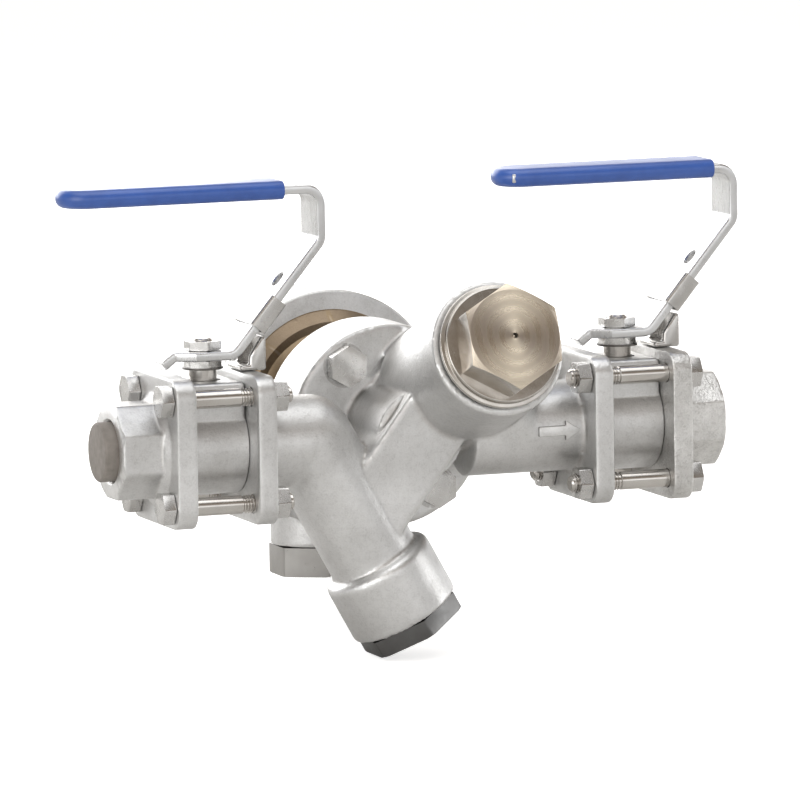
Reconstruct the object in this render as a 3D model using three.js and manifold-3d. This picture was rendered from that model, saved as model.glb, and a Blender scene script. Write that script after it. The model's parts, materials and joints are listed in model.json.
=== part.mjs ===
// A steam trapping station: two three-piece ball valves on a one-piece connector casting that holds
// a strainer, a flanged float trap and a check valve. Millimetres, +X along the flow, +Y to the rear,
// +Z up; the origin is the centre of the inlet face, on the axis of the pipe.
import * as THREE from "three";
import { mergeVertices } from "three/addons/utils/BufferGeometryUtils.js";
import Module from "manifold-3d";

const wasm = await Module();
wasm.setup();

// ---------------------------------------------------------------- driving sizes
const gap = 0.3; // kept between neighbouring pieces
const waterway = 20; // bore through the valves and pipes

const port = { bore: 26.6, wall: 7.2, length: 20.7, depth: 16, chamfer: 1.8, fillet: 2.6 };
const plug = { head: 5.4, insert: 12, wall: 2.2 };
const tie = { diameter: 8, flats: 13, head: 5.3, nut: 6, spare: 2.6, clear: 3.2, edge: 9.25 };
const plate = { thick: 9, corner: 8.5 };
const ball = { wall: 4.5, seatThick: 3.35, clear: 0.5 };
const body = { wall: 6, padWidth: 34, padRise: 8 };
const stem = { diameter: 9, collar: 12.4, collarHeight: 2.6, tang: 5.4, tangDepth: 2.6, flats: 7 };
const packing = { diameter: 15.4, height: 4.6, floor: 2.6 };
const gland = { diameter: 12, rise: 4.9, washer: 18, washerThick: 0.8, flats: 14.6, height: 3 };
const leverNut = { flats: 14.6, height: 3.8, spare: 1.2 };
const lever = {
  width: 22, thick: 4, tail: 14.3, tab: 6.4, tabAngle: 38, narrowFrom: 6.5, tailWidth: 11,
  bendAt: 11.5, slope: 50, reach: 51.8, rise: 70.6, bendRadius: 7, cornerRadius: 7,
  padlockHole: 6.4, padlockAlong: 38.8, barPastStem: 52,
};
const grip = { length: 100, width: 25, thick: 8.2, round: 2.6, inletTip: 65, outletTip: 57.5 };
const sleeve = { along: 15, length: 15.5, wall: 1.2, side: 1.3, under: 1.4 };
const bracket = { from: 14.2, legFrom: 18.5, to: 26, width: 19, sheet: 2.5, legTop: 14.6, slopeTo: 24 };

const connector = { run: 164.8, pipe: 40, outletPipe: 40, corner: -48.9, flangeFront: 30, flangeBack: 49 };
const flange = { diameter: 89.6, boltEdge: 10.2, boltTurn: 53.7, groove: 7, grooveDepth: 8, hub: 18 };
const strainer = {
  down: 61, tube: 62, collar: 49.6, collarLength: 27, bore: 27, capFlats: 42, capThick: 8,
  screen: 23, screenWall: 0.8, screenStart: 16, slots: 6, slotWidth: 3, gasketThick: 1.2, plug: 12,
};
const band = { width: 33, front: -17, legPoint: [-29.8, -38.7] };
const check = {
  x: 22.5, y: -17, z: 30, tilt: 20, diameter: 60, rise: 33, cavity: 44, depth: 30, seatBore: 16,
  capCollar: 55, capCollarThick: 5, capFlats: 41, capHex: 16, capPlug: 9, gasketThick: 1,
  disc: 24, discThick: 4, guide: 7, guideLength: 17, wire: 1.4, springDiameter: 14, turns: 4,
};
const screw = { diameter: 10, flats: 16, head: 6.4 };
const trap = {
  gasketThick: 1.2, ringBack: 19, lip: 57, lipThick: 5.4, neck: 49, neckEnd: 21.5, rim: 105, rimFace: 8.5,
  rimFront: 58.5, rimThick: 4.6, wall: 3.2, drum: 96, drumEnd: 168, dome: 5, inletHole: 4.4, inletRadius: 19.5,
  port: 12,
};
const drain = { along: 84, boss: 39, bossReach: 64.5, bore: 22, capFlats: 36, capThick: 13.2, plug: 9 };
const float = { diameter: 56, along: 118, drop: 13, armWidth: 10, armThick: 3, pin: 4, hingeBack: 5.2, hingeUp: 14 };
const seat = { diameter: 22, thick: 5, lugThick: 2.6, nozzle: 5 };

// ---------------------------------------------------------------- sizes that follow
const radians = THREE.MathUtils.degToRad;
const ballRadius = waterway / 2 + ball.wall;
const ballHalf = Math.sqrt(ballRadius ** 2 - (waterway / 2) ** 2);
const bodyHalf = ballHalf + ball.seatThick;
const cavityRadius = ballRadius + ball.clear;
const bodyRadius = cavityRadius + body.wall;
const padTop = bodyRadius + body.padRise;
const portFlats = port.bore + 2 * port.wall;
const portCorner = portFlats / 2 / Math.cos(Math.PI / 8);
const headCorner = tie.flats / 2 / Math.cos(Math.PI / 6);
const tieOffset = (portCorner + tie.clear + headCorner) / Math.SQRT2;
const plateSide = 2 * (tieOffset + tie.edge);
const valveHalf = bodyHalf + plate.thick + port.length;
const connectorHalf = connector.run / 2;
const inletX = valveHalf;
const connectorX = valveHalf + bodyHalf + connectorHalf;
const outletX = connectorX + connectorHalf + bodyHalf;

const packingBottom = padTop - packing.height - packing.floor;
const glandBottom = packingBottom + packing.height + 2 * gap;
const glandTop = padTop + gland.rise;
const leverMid = glandTop + gland.washerThick + gland.height + gap + lever.thick / 2;
const leverNutBottom = leverMid + lever.thick / 2 + gap;
const stemTop = leverNutBottom + leverNut.height + leverNut.spare;

const flangeRadius = flange.diameter / 2;
const screwRadius = flangeRadius - flange.boltEdge;
const screwPlaces = [0, 180].map((turn) => {
  const angle = radians(180 - flange.boltTurn + turn);
  return [screwRadius * Math.cos(angle), screwRadius * Math.sin(angle)];
});
const strainerEnd = strainer.tube + strainer.collarLength;

// ---------------------------------------------------------------- finishes
const finish = (color, roughness, metalness) => () =>
  new THREE.MeshStandardMaterial({ color, roughness, metalness });
const castSteel = finish("#b9b8b4", 0.45, 0.9);
const turnedSteel = finish("#a8a39c", 0.3, 1);
const boltSteel = finish("#c4c3c1", 0.25, 1);
const sheetSteel = finish("#bfc1c4", 0.35, 1);
const darkSteel = finish("#6c6d6d", 0.4, 0.9);
const blueVinyl = finish("#3a5bae", 0.5, 0);
const greyPlastic = finish("#8f8880", 0.7, 0);
const sealWhite = finish("#e8e6de", 0.6, 0);
const graphite = finish("#3b3b3d", 0.7, 0.1);

// ---------------------------------------------------------------- shapes about +Z
const axisX = new THREE.Vector3(1, 0, 0);
const axisY = new THREE.Vector3(0, 1, 0);
const axisZ = new THREE.Vector3(0, 0, 1);

// A closed geometry as a solid that can be joined and cut.
function solid(geometry) {
  const bare = geometry.index ? geometry.toNonIndexed() : geometry.clone();
  Object.keys(bare.attributes).filter((name) => name !== "position").forEach((name) => bare.deleteAttribute(name));
  const merged = mergeVertices(bare, 1e-4);
  const corners = merged.index.array;
  const kept = [];
  for (let i = 0; i < corners.length; i += 3) {
    const [a, b, c] = corners.slice(i, i + 3);
    if (a !== b && b !== c && c !== a) kept.push(a, b, c);
  }
  const build = (list) =>
    new wasm.Manifold(
      new wasm.Mesh({
        numProp: 3,
        vertProperties: merged.attributes.position.array,
        triVerts: new Uint32Array(list),
      }),
    );
  const made = build(kept);
  return made.volume() > 0 ? made : build(kept.reverse());
}

// The profile is a list of [radius, height]; it closes on itself or ends on the axis.
function revolve(profile, sides = 24) {
  const ends = [profile[0], profile[profile.length - 1]];
  const closed = ends.every(([radius]) => radius === 0) ? profile : [...profile, profile[0]];
  const points = closed.map(([radius, height]) => new THREE.Vector2(radius, height));
  return new THREE.LatheGeometry(points, sides).rotateX(Math.PI / 2);
}

const rod = (radius, from, to, sides = 24) =>
  new THREE.CylinderGeometry(radius, radius, to - from, sides)
    .rotateX(Math.PI / 2)
    .translate(0, 0, (from + to) / 2);

const ring = (outer, inner, from, to, sides = 24) =>
  revolve([[inner, from], [outer, from], [outer, to], [inner, to]], sides);

// A prism with flats; one flat faces +X.
const prism = (count, flats, from, to) =>
  rod(flats / 2 / Math.cos(Math.PI / count), from, to, count).rotateZ(Math.PI / 2 + Math.PI / count);

const box = (x0, x1, y0, y1, z0, z1) =>
  new THREE.BoxGeometry(x1 - x0, y1 - y0, z1 - z0).translate((x0 + x1) / 2, (y0 + y1) / 2, (z0 + z1) / 2);

// Turns a shape made about +Z so that it runs along a direction, then moves it to a place.
function aim(geometry, direction, place = [0, 0, 0]) {
  const turn = new THREE.Quaternion().setFromUnitVectors(axisZ, direction.clone().normalize());
  return geometry.applyQuaternion(turn).translate(...place);
}

// A rod between two points.
function rodBetween(radius, a, b, sides = 24) {
  const start = new THREE.Vector3(...a);
  const way = new THREE.Vector3(...b).sub(start);
  return aim(rod(radius, 0, way.length(), sides), way, a);
}

const join = (...geometries) => geometries.map(asSolid).reduce((whole, piece) => whole.add(piece));
const cut = (whole, ...tools) => tools.map(asSolid).reduce((left, tool) => left.subtract(tool), asSolid(whole));
const common = (whole, ...others) => others.map(asSolid).reduce((left, other) => left.intersect(other), asSolid(whole));

function asSolid(piece) {
  return piece.isBufferGeometry ? solid(piece) : piece;
}

function asGeometry(piece) {
  const mesh = asSolid(piece).getMesh();
  const geometry = new THREE.BufferGeometry();
  geometry.setAttribute("position", new THREE.BufferAttribute(mesh.vertProperties, 3));
  geometry.setIndex(new THREE.BufferAttribute(mesh.triVerts, 1));
  geometry.computeVertexNormals();
  return geometry;
}

function node(parent, name, piece, material) {
  const mesh = new THREE.Mesh(asGeometry(piece), material());
  mesh.name = name;
  parent.add(mesh);
  return mesh;
}

function group(parent, place = [0, 0, 0], turn = [0, 0, 0]) {
  const made = new THREE.Group();
  made.position.set(...place);
  made.rotation.set(...turn);
  parent.add(made);
  return made;
}

// ---------------------------------------------------------------- shared shapes
function roundedSquare(side, corner) {
  const half = side / 2;
  const flat = half - corner;
  const shape = new THREE.Shape();
  shape.moveTo(half, -flat);
  shape.lineTo(half, flat);
  shape.absarc(flat, flat, corner, 0, Math.PI / 2);
  shape.lineTo(-flat, half);
  shape.absarc(-flat, flat, corner, Math.PI / 2, Math.PI);
  shape.lineTo(-half, -flat);
  shape.absarc(-flat, -flat, corner, Math.PI, 1.5 * Math.PI);
  shape.lineTo(flat, -half);
  shape.absarc(flat, -flat, corner, 1.5 * Math.PI, 2 * Math.PI);
  return shape;
}

const tieCorners = [[1, -1], [1, 1], [-1, 1], [-1, -1]];

// The square plate that the tie bolts clamp, from height 0 up, with its four holes.
function clampPlate() {
  const slab = new THREE.ExtrudeGeometry(roundedSquare(plateSide, plate.corner), {
    depth: plate.thick,
    bevelEnabled: false,
    curveSegments: 6,
  });
  const holes = tieCorners.map(([u, v]) =>
    rod(tie.diameter / 2 + gap, -1, plate.thick + 1, 14).translate(u * tieOffset, v * tieOffset, 0));
  return cut(slab, ...holes);
}

// A hexagon with the corners turned off at the ends that are asked for.
function hexagon(flats, from, to, chamferLow, chamferHigh) {
  const corner = flats / 2 / Math.cos(Math.PI / 6);
  const turned = corner * 0.93;
  const slope = (corner - turned) * 0.6;
  const low = chamferLow ? [[turned, from], [corner + 0.01, from + slope]] : [[corner + 0.01, from]];
  const high = chamferHigh ? [[corner + 0.01, to - slope], [turned, to]] : [[corner + 0.01, to]];
  return common(prism(6, flats, from, to), revolve([[0, from], ...low, ...high, [0, to]], 18));
}

const hexNut = (flats, height, thread) =>
  cut(hexagon(flats, 0, height, true, true), rod(thread / 2 + gap, -1, height + 1, 14));

// A hexagon bolt with the underside of its head at height 0 and its shank going down.
const hexBolt = (flats, head, diameter, shank) =>
  join(hexagon(flats, 0, head, false, true), rod(diameter / 2, -shank, 0.2, 14));

// ---------------------------------------------------------------- ball valves
// The end cap runs from its clamped face at height 0 up to its threaded mouth.
function endCap() {
  const mouth = plate.thick + port.length;
  const octagon = common(
    prism(8, portFlats, 0, mouth),
    revolve([
      [0, 0], [portCorner + 1, 0], [portCorner + 1, mouth - port.chamfer],
      [portFlats / 2 - 0.4, mouth], [0, mouth],
    ]),
  );
  const foot = revolve([
    [0, 0], [portCorner + port.fillet, plate.thick - 1], [portCorner + port.fillet, plate.thick],
    [portCorner, plate.thick + port.fillet], [0, plate.thick + port.fillet],
  ]);
  return cut(
    join(clampPlate(), octagon, foot),
    rod(waterway / 2, -1, mouth),
    rod(port.bore / 2, mouth - port.depth, mouth + 1),
  );
}

// The body lies along its own X axis, with the stem bore going up.
function valveBody() {
  const half = bodyHalf - gap;
  const barrel = aim(rod(bodyRadius, -half, half), axisX);
  const pad = box(-half, half, -body.padWidth / 2, body.padWidth / 2, 0, padTop);
  const collarTop = cavityRadius + stem.collarHeight + gap;
  return cut(
    join(barrel, pad),
    aim(rod(cavityRadius, -half - 1, half + 1), axisX),
    rod(stem.diameter / 2 + gap, 0, padTop + 1, 16),
    rod(stem.collar / 2 + gap, 0, collarTop, 16),
    rod(packing.diameter / 2, packingBottom, padTop + 1, 18),
  );
}

function valveBall() {
  const sphere = new THREE.SphereGeometry(ballRadius, 24, 14);
  const slotFloor = ballRadius - stem.tangDepth - gap;
  return cut(
    sphere,
    aim(rod(waterway / 2, -ballRadius, ballRadius, 20), axisX),
    box(-ballRadius, ballRadius, -stem.tang / 2 - gap, stem.tang / 2 + gap, slotFloor, ballRadius + 1),
  );
}

// The seat ring stands on height 0 and cups the ball, whose centre is bodyHalf above.
function seatRing() {
  const outer = cavityRadius - gap;
  const inner = waterway / 2 + gap;
  const cup = new THREE.SphereGeometry(ballRadius + gap, 20, 14).translate(0, 0, bodyHalf);
  const blank = ring(outer, inner, gap, ball.seatThick + ballHalf * 0.36);
  return cut(blank, cup);
}

function valveStem() {
  const tangBottom = ballRadius - stem.tangDepth;
  const collarBottom = cavityRadius;
  const shoulder = leverMid - lever.thick / 2 - gap;
  const tang = box(
    -stem.collar / 2, stem.collar / 2, -stem.tang / 2, stem.tang / 2, tangBottom, collarBottom + 0.5,
  );
  const spindle = revolve([
    [0, collarBottom], [stem.collar / 2, collarBottom], [stem.collar / 2, collarBottom + stem.collarHeight],
    [stem.diameter / 2, collarBottom + stem.collarHeight], [stem.diameter / 2, stemTop - 0.6],
    [stem.diameter / 2 - 0.6, stemTop], [0, stemTop],
  ], 16);
  const side = (sign) =>
    box(sign > 0 ? stem.flats / 2 : -stem.diameter, sign > 0 ? stem.diameter : -stem.flats / 2,
      -stem.diameter, stem.diameter, shoulder, leverNutBottom);
  return cut(join(common(tang, rod(stem.collar / 2, 0, stemTop, 16)), spindle), side(1), side(-1));
}

// The gland nut clamps the packing: a follower, a thin washer face and a hexagon, in one piece.
function glandNut() {
  const washerTop = glandTop + gland.washerThick;
  const follower = rod(gland.diameter / 2, glandBottom, glandTop, 18);
  const washer = rod(gland.washer / 2, glandTop, washerTop, 20);
  const hex = hexagon(gland.flats, washerTop, washerTop + gland.height, false, true);
  return cut(join(follower, washer, hex), rod(stem.diameter / 2 + gap, 0, stemTop, 16));
}

// The outline of a strip that follows a line of points, with a bend radius at each inner point.
function bentStrip(points, bends, thick, steps = 5) {
  const line = [];
  points.forEach((point, i) => {
    const here = new THREE.Vector2(...point);
    if (i === 0 || i === points.length - 1) return line.push(here);
    const back = new THREE.Vector2(...points[i - 1]).sub(here).normalize();
    const onward = new THREE.Vector2(...points[i + 1]).sub(here).normalize();
    const half = Math.acos(back.dot(onward)) / 2;
    const centre = here.clone().add(back.clone().add(onward).normalize().multiplyScalar(bends[i] / Math.sin(half)));
    const from = here.clone().add(back.multiplyScalar(bends[i] / Math.tan(half))).sub(centre);
    const to = here.clone().add(onward.multiplyScalar(bends[i] / Math.tan(half))).sub(centre);
    const sweep = Math.atan2(from.cross(to), from.dot(to));
    for (let k = 0; k <= steps; k += 1) {
      line.push(from.clone().rotateAround(new THREE.Vector2(), (sweep * k) / steps).add(centre));
    }
  });
  const offset = (side) =>
    line.map((point, i) => {
      const before = line[Math.max(i - 1, 0)];
      const after = line[Math.min(i + 1, line.length - 1)];
      const incoming = point.clone().sub(before).normalize();
      const outgoing = after.clone().sub(point).normalize();
      const along = incoming.add(outgoing).normalize();
      const lean = along.dot(outgoing) || 1;
      const reach = (side * thick) / 2 / lean;
      return point.clone().add(new THREE.Vector2(-along.y, along.x).multiplyScalar(reach));
    });
  return new THREE.Shape([...offset(1), ...offset(-1).reverse()]);
}

// A shape drawn in X and Z, as thick in Y as its width and centred on the X axis.
const standing = (shape, width) =>
  new THREE.ExtrudeGeometry(shape, { depth: width, bevelEnabled: false })
    .rotateX(Math.PI / 2)
    .translate(0, width / 2, 0);

const slope = radians(lever.slope);
// A point on the middle line of the lever's slope, a distance from its foot.
const onSlope = (along) => [lever.bendAt + along * Math.cos(slope), 0, leverMid + along * Math.sin(slope)];

function leverBar() {
  const tab = radians(lever.tabAngle);
  const bendHeight = (lever.reach - lever.bendAt) * Math.tan(slope);
  const line = [
    [-lever.tail - lever.tab * Math.cos(tab), -lever.tab * Math.sin(tab)],
    [-lever.tail, 0],
    [lever.bendAt, 0],
    [lever.reach, bendHeight],
    [lever.reach, lever.rise],
    [-lever.barPastStem, lever.rise],
  ];
  const bends = [0, 3, lever.bendRadius, lever.cornerRadius, lever.cornerRadius, 0];
  const bar = standing(bentStrip(line, bends, lever.thick), lever.width).translate(0, 0, leverMid);
  const tailCut = (sign) => {
    const outline = new THREE.Shape([
      new THREE.Vector2(-lever.narrowFrom, sign * lever.width * 0.5),
      new THREE.Vector2(-lever.tail, (sign * lever.tailWidth) / 2),
      new THREE.Vector2(-lever.tail - 2 * lever.tab, (sign * lever.tailWidth) / 2),
      new THREE.Vector2(-lever.tail - 2 * lever.tab, sign * lever.width),
      new THREE.Vector2(-lever.narrowFrom, sign * lever.width),
    ]);
    const depth = lever.rise / 2;
    return new THREE.ExtrudeGeometry(outline, { depth, bevelEnabled: false }).translate(0, 0, leverMid - depth / 2);
  };
  const stemHole = common(
    rod(stem.diameter / 2 + gap, leverMid - lever.thick, leverMid + lever.thick, 16),
    box(-stem.flats / 2 - gap, stem.flats / 2 + gap, -stem.diameter, stem.diameter, 0, stemTop),
  );
  const across = new THREE.Vector3(-Math.sin(slope), 0, Math.cos(slope));
  const padlockHole = aim(
    rod(lever.padlockHole / 2, -lever.thick, lever.thick, 16), across, onSlope(lever.padlockAlong),
  );
  return cut(bar, stemHole, padlockHole, tailCut(1), tailCut(-1));
}

// The soft grip, closed at its tip and open towards the bend of the lever.
function leverGrip(tip) {
  const radius = grip.thick / 2;
  const flat = grip.width / 2 - radius;
  const section = new THREE.Shape();
  section.absarc(0, flat, radius, 0, Math.PI);
  section.absarc(0, -flat, radius, Math.PI, 2 * Math.PI);
  const sleeveSolid = new THREE.ExtrudeGeometry(section, {
    depth: grip.length - 2 * grip.round,
    curveSegments: 7,
    bevelThickness: grip.round,
    bevelSize: grip.round,
    bevelOffset: -grip.round,
    bevelSegments: 3,
  }).translate(0, 0, grip.round - tip);
  const lying = sleeveSolid.rotateY(Math.PI / 2).translate(0, 0, leverMid + lever.rise);
  const space = lever.thick / 2 + gap;
  return cut(
    lying,
    box(-lever.barPastStem - gap, lever.reach, -lever.width / 2 - gap, lever.width / 2 + gap,
      leverMid + lever.rise - space, leverMid + lever.rise + space),
  );
}

// The sliding lock sleeve, along its own X axis, wrapped round the bar.
function lockSleeve() {
  const top = lever.thick / 2 + gap;
  const bottom = -lever.thick / 2 - sleeve.under;
  const side = lever.width / 2 + gap;
  return cut(
    box(0, sleeve.length, -side - sleeve.side, side + sleeve.side, bottom - sleeve.wall, top + sleeve.wall),
    box(-1, sleeve.length + 1, -side, side, bottom, top),
  );
}

// A folded sheet bracket: a foot, two legs with a sloping edge and a web between them.
function lockBracket() {
  const outline = new THREE.Shape([
    new THREE.Vector2(bracket.from, 0),
    new THREE.Vector2(bracket.to, 0),
    new THREE.Vector2(bracket.to, bracket.legTop),
    new THREE.Vector2(bracket.slopeTo, bracket.legTop),
    new THREE.Vector2(bracket.legFrom, bracket.legTop - 8.4),
    new THREE.Vector2(bracket.legFrom, bracket.sheet),
    new THREE.Vector2(bracket.from, bracket.sheet),
  ]);
  const inner = bracket.width / 2 - bracket.sheet;
  const web = bracket.to - bracket.sheet;
  return cut(
    standing(outline, bracket.width),
    box(0, web, -inner, inner, bracket.sheet, bracket.legTop + 1),
  );
}

// The inlet valve has its end cap upstream; the outlet valve has its end cap downstream.
function valve(station, prefix, x, facing, tip) {
  const upright = group(station, [x, 0, 0]);
  const piped = group(upright, [0, 0, 0], [0, facing > 0 ? 0 : Math.PI, 0]);
  const outward = [0, Math.PI / 2, 0];
  const inward = [0, -Math.PI / 2, 0];

  node(group(piped, [bodyHalf, 0, 0], outward), prefix + "end_cap", endCap(), castSteel);
  node(upright, prefix + "valve_body", valveBody(), castSteel);
  node(upright, prefix + "ball", valveBall(), turnedSteel);
  node(group(piped, [bodyHalf, 0, 0], inward), prefix + "seat_a", seatRing(), sealWhite);
  node(group(piped, [-bodyHalf, 0, 0], outward), prefix + "seat_b", seatRing(), sealWhite);
  node(upright, prefix + "stem", valveStem(), turnedSteel);
  node(upright, prefix + "stem_packing",
    ring(packing.diameter / 2 - gap, stem.diameter / 2 + gap, packingBottom + gap,
      packingBottom + packing.height + gap, 18), graphite);
  node(upright, prefix + "gland_nut", glandNut(), boltSteel);
  node(upright, prefix + "lever", leverBar(), sheetSteel);
  node(upright, prefix + "grip", leverGrip(tip), blueVinyl);
  node(group(upright, [0, 0, leverNutBottom]), prefix + "lever_nut",
    hexNut(leverNut.flats, leverNut.height, stem.diameter), boltSteel);
  node(group(upright, onSlope(sleeve.along), [0, -slope, 0]), prefix + "lock_sleeve", lockSleeve(), sheetSteel);
  node(group(upright, [0, 0, plateSide / 2 + gap]), prefix + "lock_bracket", lockBracket(), sheetSteel);

  const shank = 2 * (bodyHalf + plate.thick) + tie.nut + 3 * gap + tie.spare;
  tieCorners.forEach(([u, v], i) => {
    const place = (along) => [along, v * tieOffset, u * tieOffset];
    const face = bodyHalf + plate.thick + gap;
    node(group(piped, place(face), outward), prefix + "tie_bolt_" + (i + 1),
      hexBolt(tie.flats, tie.head, tie.diameter, shank), boltSteel);
    node(group(piped, place(-face), inward), prefix + "tie_nut_" + (i + 1),
      hexNut(tie.flats, tie.nut, tie.diameter), boltSteel);
  });
}

// ---------------------------------------------------------------- connector casting
const down = radians(strainer.down);
const legWay = new THREE.Vector3(Math.cos(down), 0, -Math.sin(down));
const legPoint = (along) => [connector.corner + along * legWay.x, 0, along * legWay.z];
const tilt = radians(check.tilt);
const checkWay = new THREE.Vector3(0, -Math.cos(tilt), Math.sin(tilt));
const checkPoint = (along) => [check.x, check.y + along * checkWay.y, check.z + along * checkWay.z];

// The flat-faced neck that climbs from the strainer leg to the check chamber, in front of the flange.
function neckBand() {
  const start = new THREE.Vector2(...band.legPoint);
  const end = new THREE.Vector2(check.x, check.z);
  const way = end.clone().sub(start).normalize();
  const side = new THREE.Vector2(-way.y, way.x).multiplyScalar(band.width / 2);
  const outline = new THREE.Shape([
    start.clone().add(side), start.clone().sub(side), end.clone().sub(side), end.clone().add(side),
  ]);
  const depth = connector.flangeFront + 1 - band.front;
  return new THREE.ExtrudeGeometry(outline, { depth, bevelEnabled: false })
    .rotateX(Math.PI / 2)
    .translate(0, band.front + depth, 0);
}

function connectorBody() {
  const pipe = connector.pipe / 2;
  const face = connectorHalf;
  const plateAt = (x, way) => clampPlateAlong(way).translate([x, 0, 0]);
  const flangeDisc = aim(rod(flangeRadius, connector.flangeFront, connector.flangeBack, 32), axisY);
  const chamberEnd = checkPoint(-42);
  const shell = join(
    plateAt(-face, 1),
    plateAt(face, -1),
    aim(rod(pipe, -face + 1, connector.corner, 28), axisX),
    new THREE.SphereGeometry(pipe, 36, 16).translate(connector.corner, 0, 0),
    aim(rod(pipe, 0, strainer.tube + 1, 28), legWay, legPoint(0)),
    aim(rod(strainer.collar / 2, strainer.tube, strainerEnd, 28), legWay, legPoint(0)),
    flangeDisc,
    neckBand(),
    rodBetween(check.diameter / 2, chamberEnd, checkPoint(check.rise), 32),
    aim(rod(connector.outletPipe / 2, check.x, face - 1, 28), axisX),
    rodBetween(connector.outletPipe / 2, [check.x, -6, 18], [check.x + 24, 0, 0], 24),
    aim(rod(pipe, -10, connector.flangeFront + 1, 28), axisY),
  );
  const backStop = box(-face, face, connector.flangeBack, connector.flangeBack + 60, -face, face);
  const boltHoles = screwPlaces.map(([x, z]) =>
    aim(rod(screw.diameter / 2 + gap, connector.flangeFront - 12, connector.flangeBack + 1, 14), axisY, [x, 0, z]));
  const spotFaces = screwPlaces.map(([x, z]) =>
    aim(rod(screw.flats / 2 / Math.cos(Math.PI / 6) + 0.6, connector.flangeFront - screw.head - 6,
      connector.flangeFront, 20), axisY, [x, 0, z]));
  const groove = aim(ring(flange.hub + flange.groove, flange.hub,
    connector.flangeBack - flange.grooveDepth, connector.flangeBack + 1, 28), axisY);
  const seatAt = check.rise - check.depth;
  return cut(
    shell,
    backStop,
    ...spotFaces,
    ...boltHoles,
    groove,
    aim(rod(waterway / 2, -face - 1, connector.corner, 20), axisX),
    rodBetween(waterway / 2, [connector.corner, 0, 0], legPoint(strainer.screenStart), 20),
    aim(rod(strainer.bore / 2, strainer.screenStart, strainerEnd + 1, 20), legWay, legPoint(0)),
    rodBetween(6, legPoint(44), [-14, connector.flangeBack - flange.grooveDepth / 2, -15.5], 14),
    aim(rod(trap.port / 2, 2, connector.flangeBack + 1, 16), axisY),
    rodBetween(trap.port / 2, [0, 3, 0], checkPoint(-13), 16),
    rodBetween(check.seatBore / 2, checkPoint(-16), checkPoint(seatAt + 1), 18),
    rodBetween(check.cavity / 2, checkPoint(seatAt), checkPoint(check.rise + 1), 24),
    rodBetween(7, [check.x + 9, -20, 22], [check.x + 26, 0, 0], 16),
    aim(rod(waterway / 2, check.x + 24, face + 1, 20), axisX),
  );
}

// The clamp plate with its outer face at the origin and its thickness along X, one way or the other.
function clampPlateAlong(way) {
  return clampPlate().rotate([0, way * 90, 0]);
}

function connectorParts(station) {
  const centre = group(station, [connectorX, 0, 0]);
  node(centre, "connector_body", connectorBody(), castSteel);

  const leg = group(centre, legPoint(0), [0, Math.PI / 2 + down, 0]);
  const gasketAt = strainerEnd + gap;
  const capAt = gasketAt + strainer.gasketThick + gap;
  const boreRadius = strainer.bore / 2;
  const screenRadius = strainer.screen / 2;
  const screenEnd = capAt - strainer.plug - gap;
  const slots = Array.from({ length: strainer.slots }, (_, i) =>
    box(0, screenRadius + 2, -strainer.slotWidth / 2, strainer.slotWidth / 2,
      strainer.screenStart + 8, screenEnd - 8).rotateZ((i * 2 * Math.PI) / strainer.slots));
  node(leg, "strainer_screen",
    cut(ring(screenRadius, screenRadius - strainer.screenWall, strainer.screenStart + gap, screenEnd, 24), ...slots),
    sheetSteel);
  node(leg, "strainer_gasket",
    ring(strainer.collar / 2 - 4, boreRadius + gap, gasketAt, gasketAt + strainer.gasketThick), graphite);
  node(leg, "strainer_cap",
    cut(
      join(rod(boreRadius - gap, capAt - strainer.plug, capAt + 1), hexagon(strainer.capFlats, capAt,
        capAt + strainer.capThick, false, true)),
      rod(screenRadius - 3, capAt - strainer.plug - 1, capAt - 3),
    ),
    darkSteel);

  const chamber = group(centre, checkPoint(check.rise), [Math.PI / 2 - tilt, 0, 0]);
  const checkCapAt = gap + check.gasketThick + gap;
  const hexFrom = checkCapAt + check.capCollarThick;
  node(chamber, "check_gasket",
    ring(check.capCollar / 2 - gap, check.cavity / 2 + gap, gap, gap + check.gasketThick), graphite);
  node(chamber, "check_cap",
    cut(
      join(
        rod(check.capCollar / 2, checkCapAt, hexFrom, 28),
        hexagon(check.capFlats, hexFrom, hexFrom + check.capHex, false, true),
        rod(check.cavity / 2 - gap, checkCapAt - check.capPlug, checkCapAt + 1),
      ),
      rod(check.guide / 2 + gap, checkCapAt - check.capPlug - 1, checkCapAt + 4, 16),
    ),
    turnedSteel);
  const discAt = -check.depth + gap;
  node(chamber, "check_disc",
    join(rod(check.disc / 2, discAt, discAt + check.discThick, 20),
      rod(check.guide / 2, discAt + 1, discAt + check.discThick + check.guideLength, 16)),
    turnedSteel);
  node(chamber, "check_spring",
    spring(check.springDiameter / 2, check.wire / 2, check.turns,
      discAt + check.discThick + gap, checkCapAt - check.capPlug - gap),
    sheetSteel);

  screwPlaces.forEach(([x, z], i) => {
    const shank = connector.flangeBack - connector.flangeFront + trap.ringBack - 1;
    node(group(centre, [x, connector.flangeFront - gap, z], [Math.PI / 2, 0, 0]),
      "connector_bolt_" + (i + 1), hexBolt(screw.flats, screw.head, screw.diameter, shank), boltSteel);
  });
  return centre;
}

// A round wire wound between two heights.
class Helix extends THREE.Curve {
  constructor(radius, turns, from, to) {
    super();
    Object.assign(this, { radius, turns, from, to });
  }
  getPoint(t, target = new THREE.Vector3()) {
    const angle = 2 * Math.PI * this.turns * t;
    return target.set(
      this.radius * Math.cos(angle),
      this.radius * Math.sin(angle),
      this.from + (this.to - this.from) * t,
    );
  }
}

function spring(radius, wire, turns, from, to) {
  const section = new THREE.Shape();
  section.absarc(0, 0, wire, 0, 2 * Math.PI);
  return new THREE.ExtrudeGeometry(section, {
    steps: turns * 10,
    curveSegments: 2,
    extrudePath: new Helix(radius, turns, from + wire, to - wire),
  });
}

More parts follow.
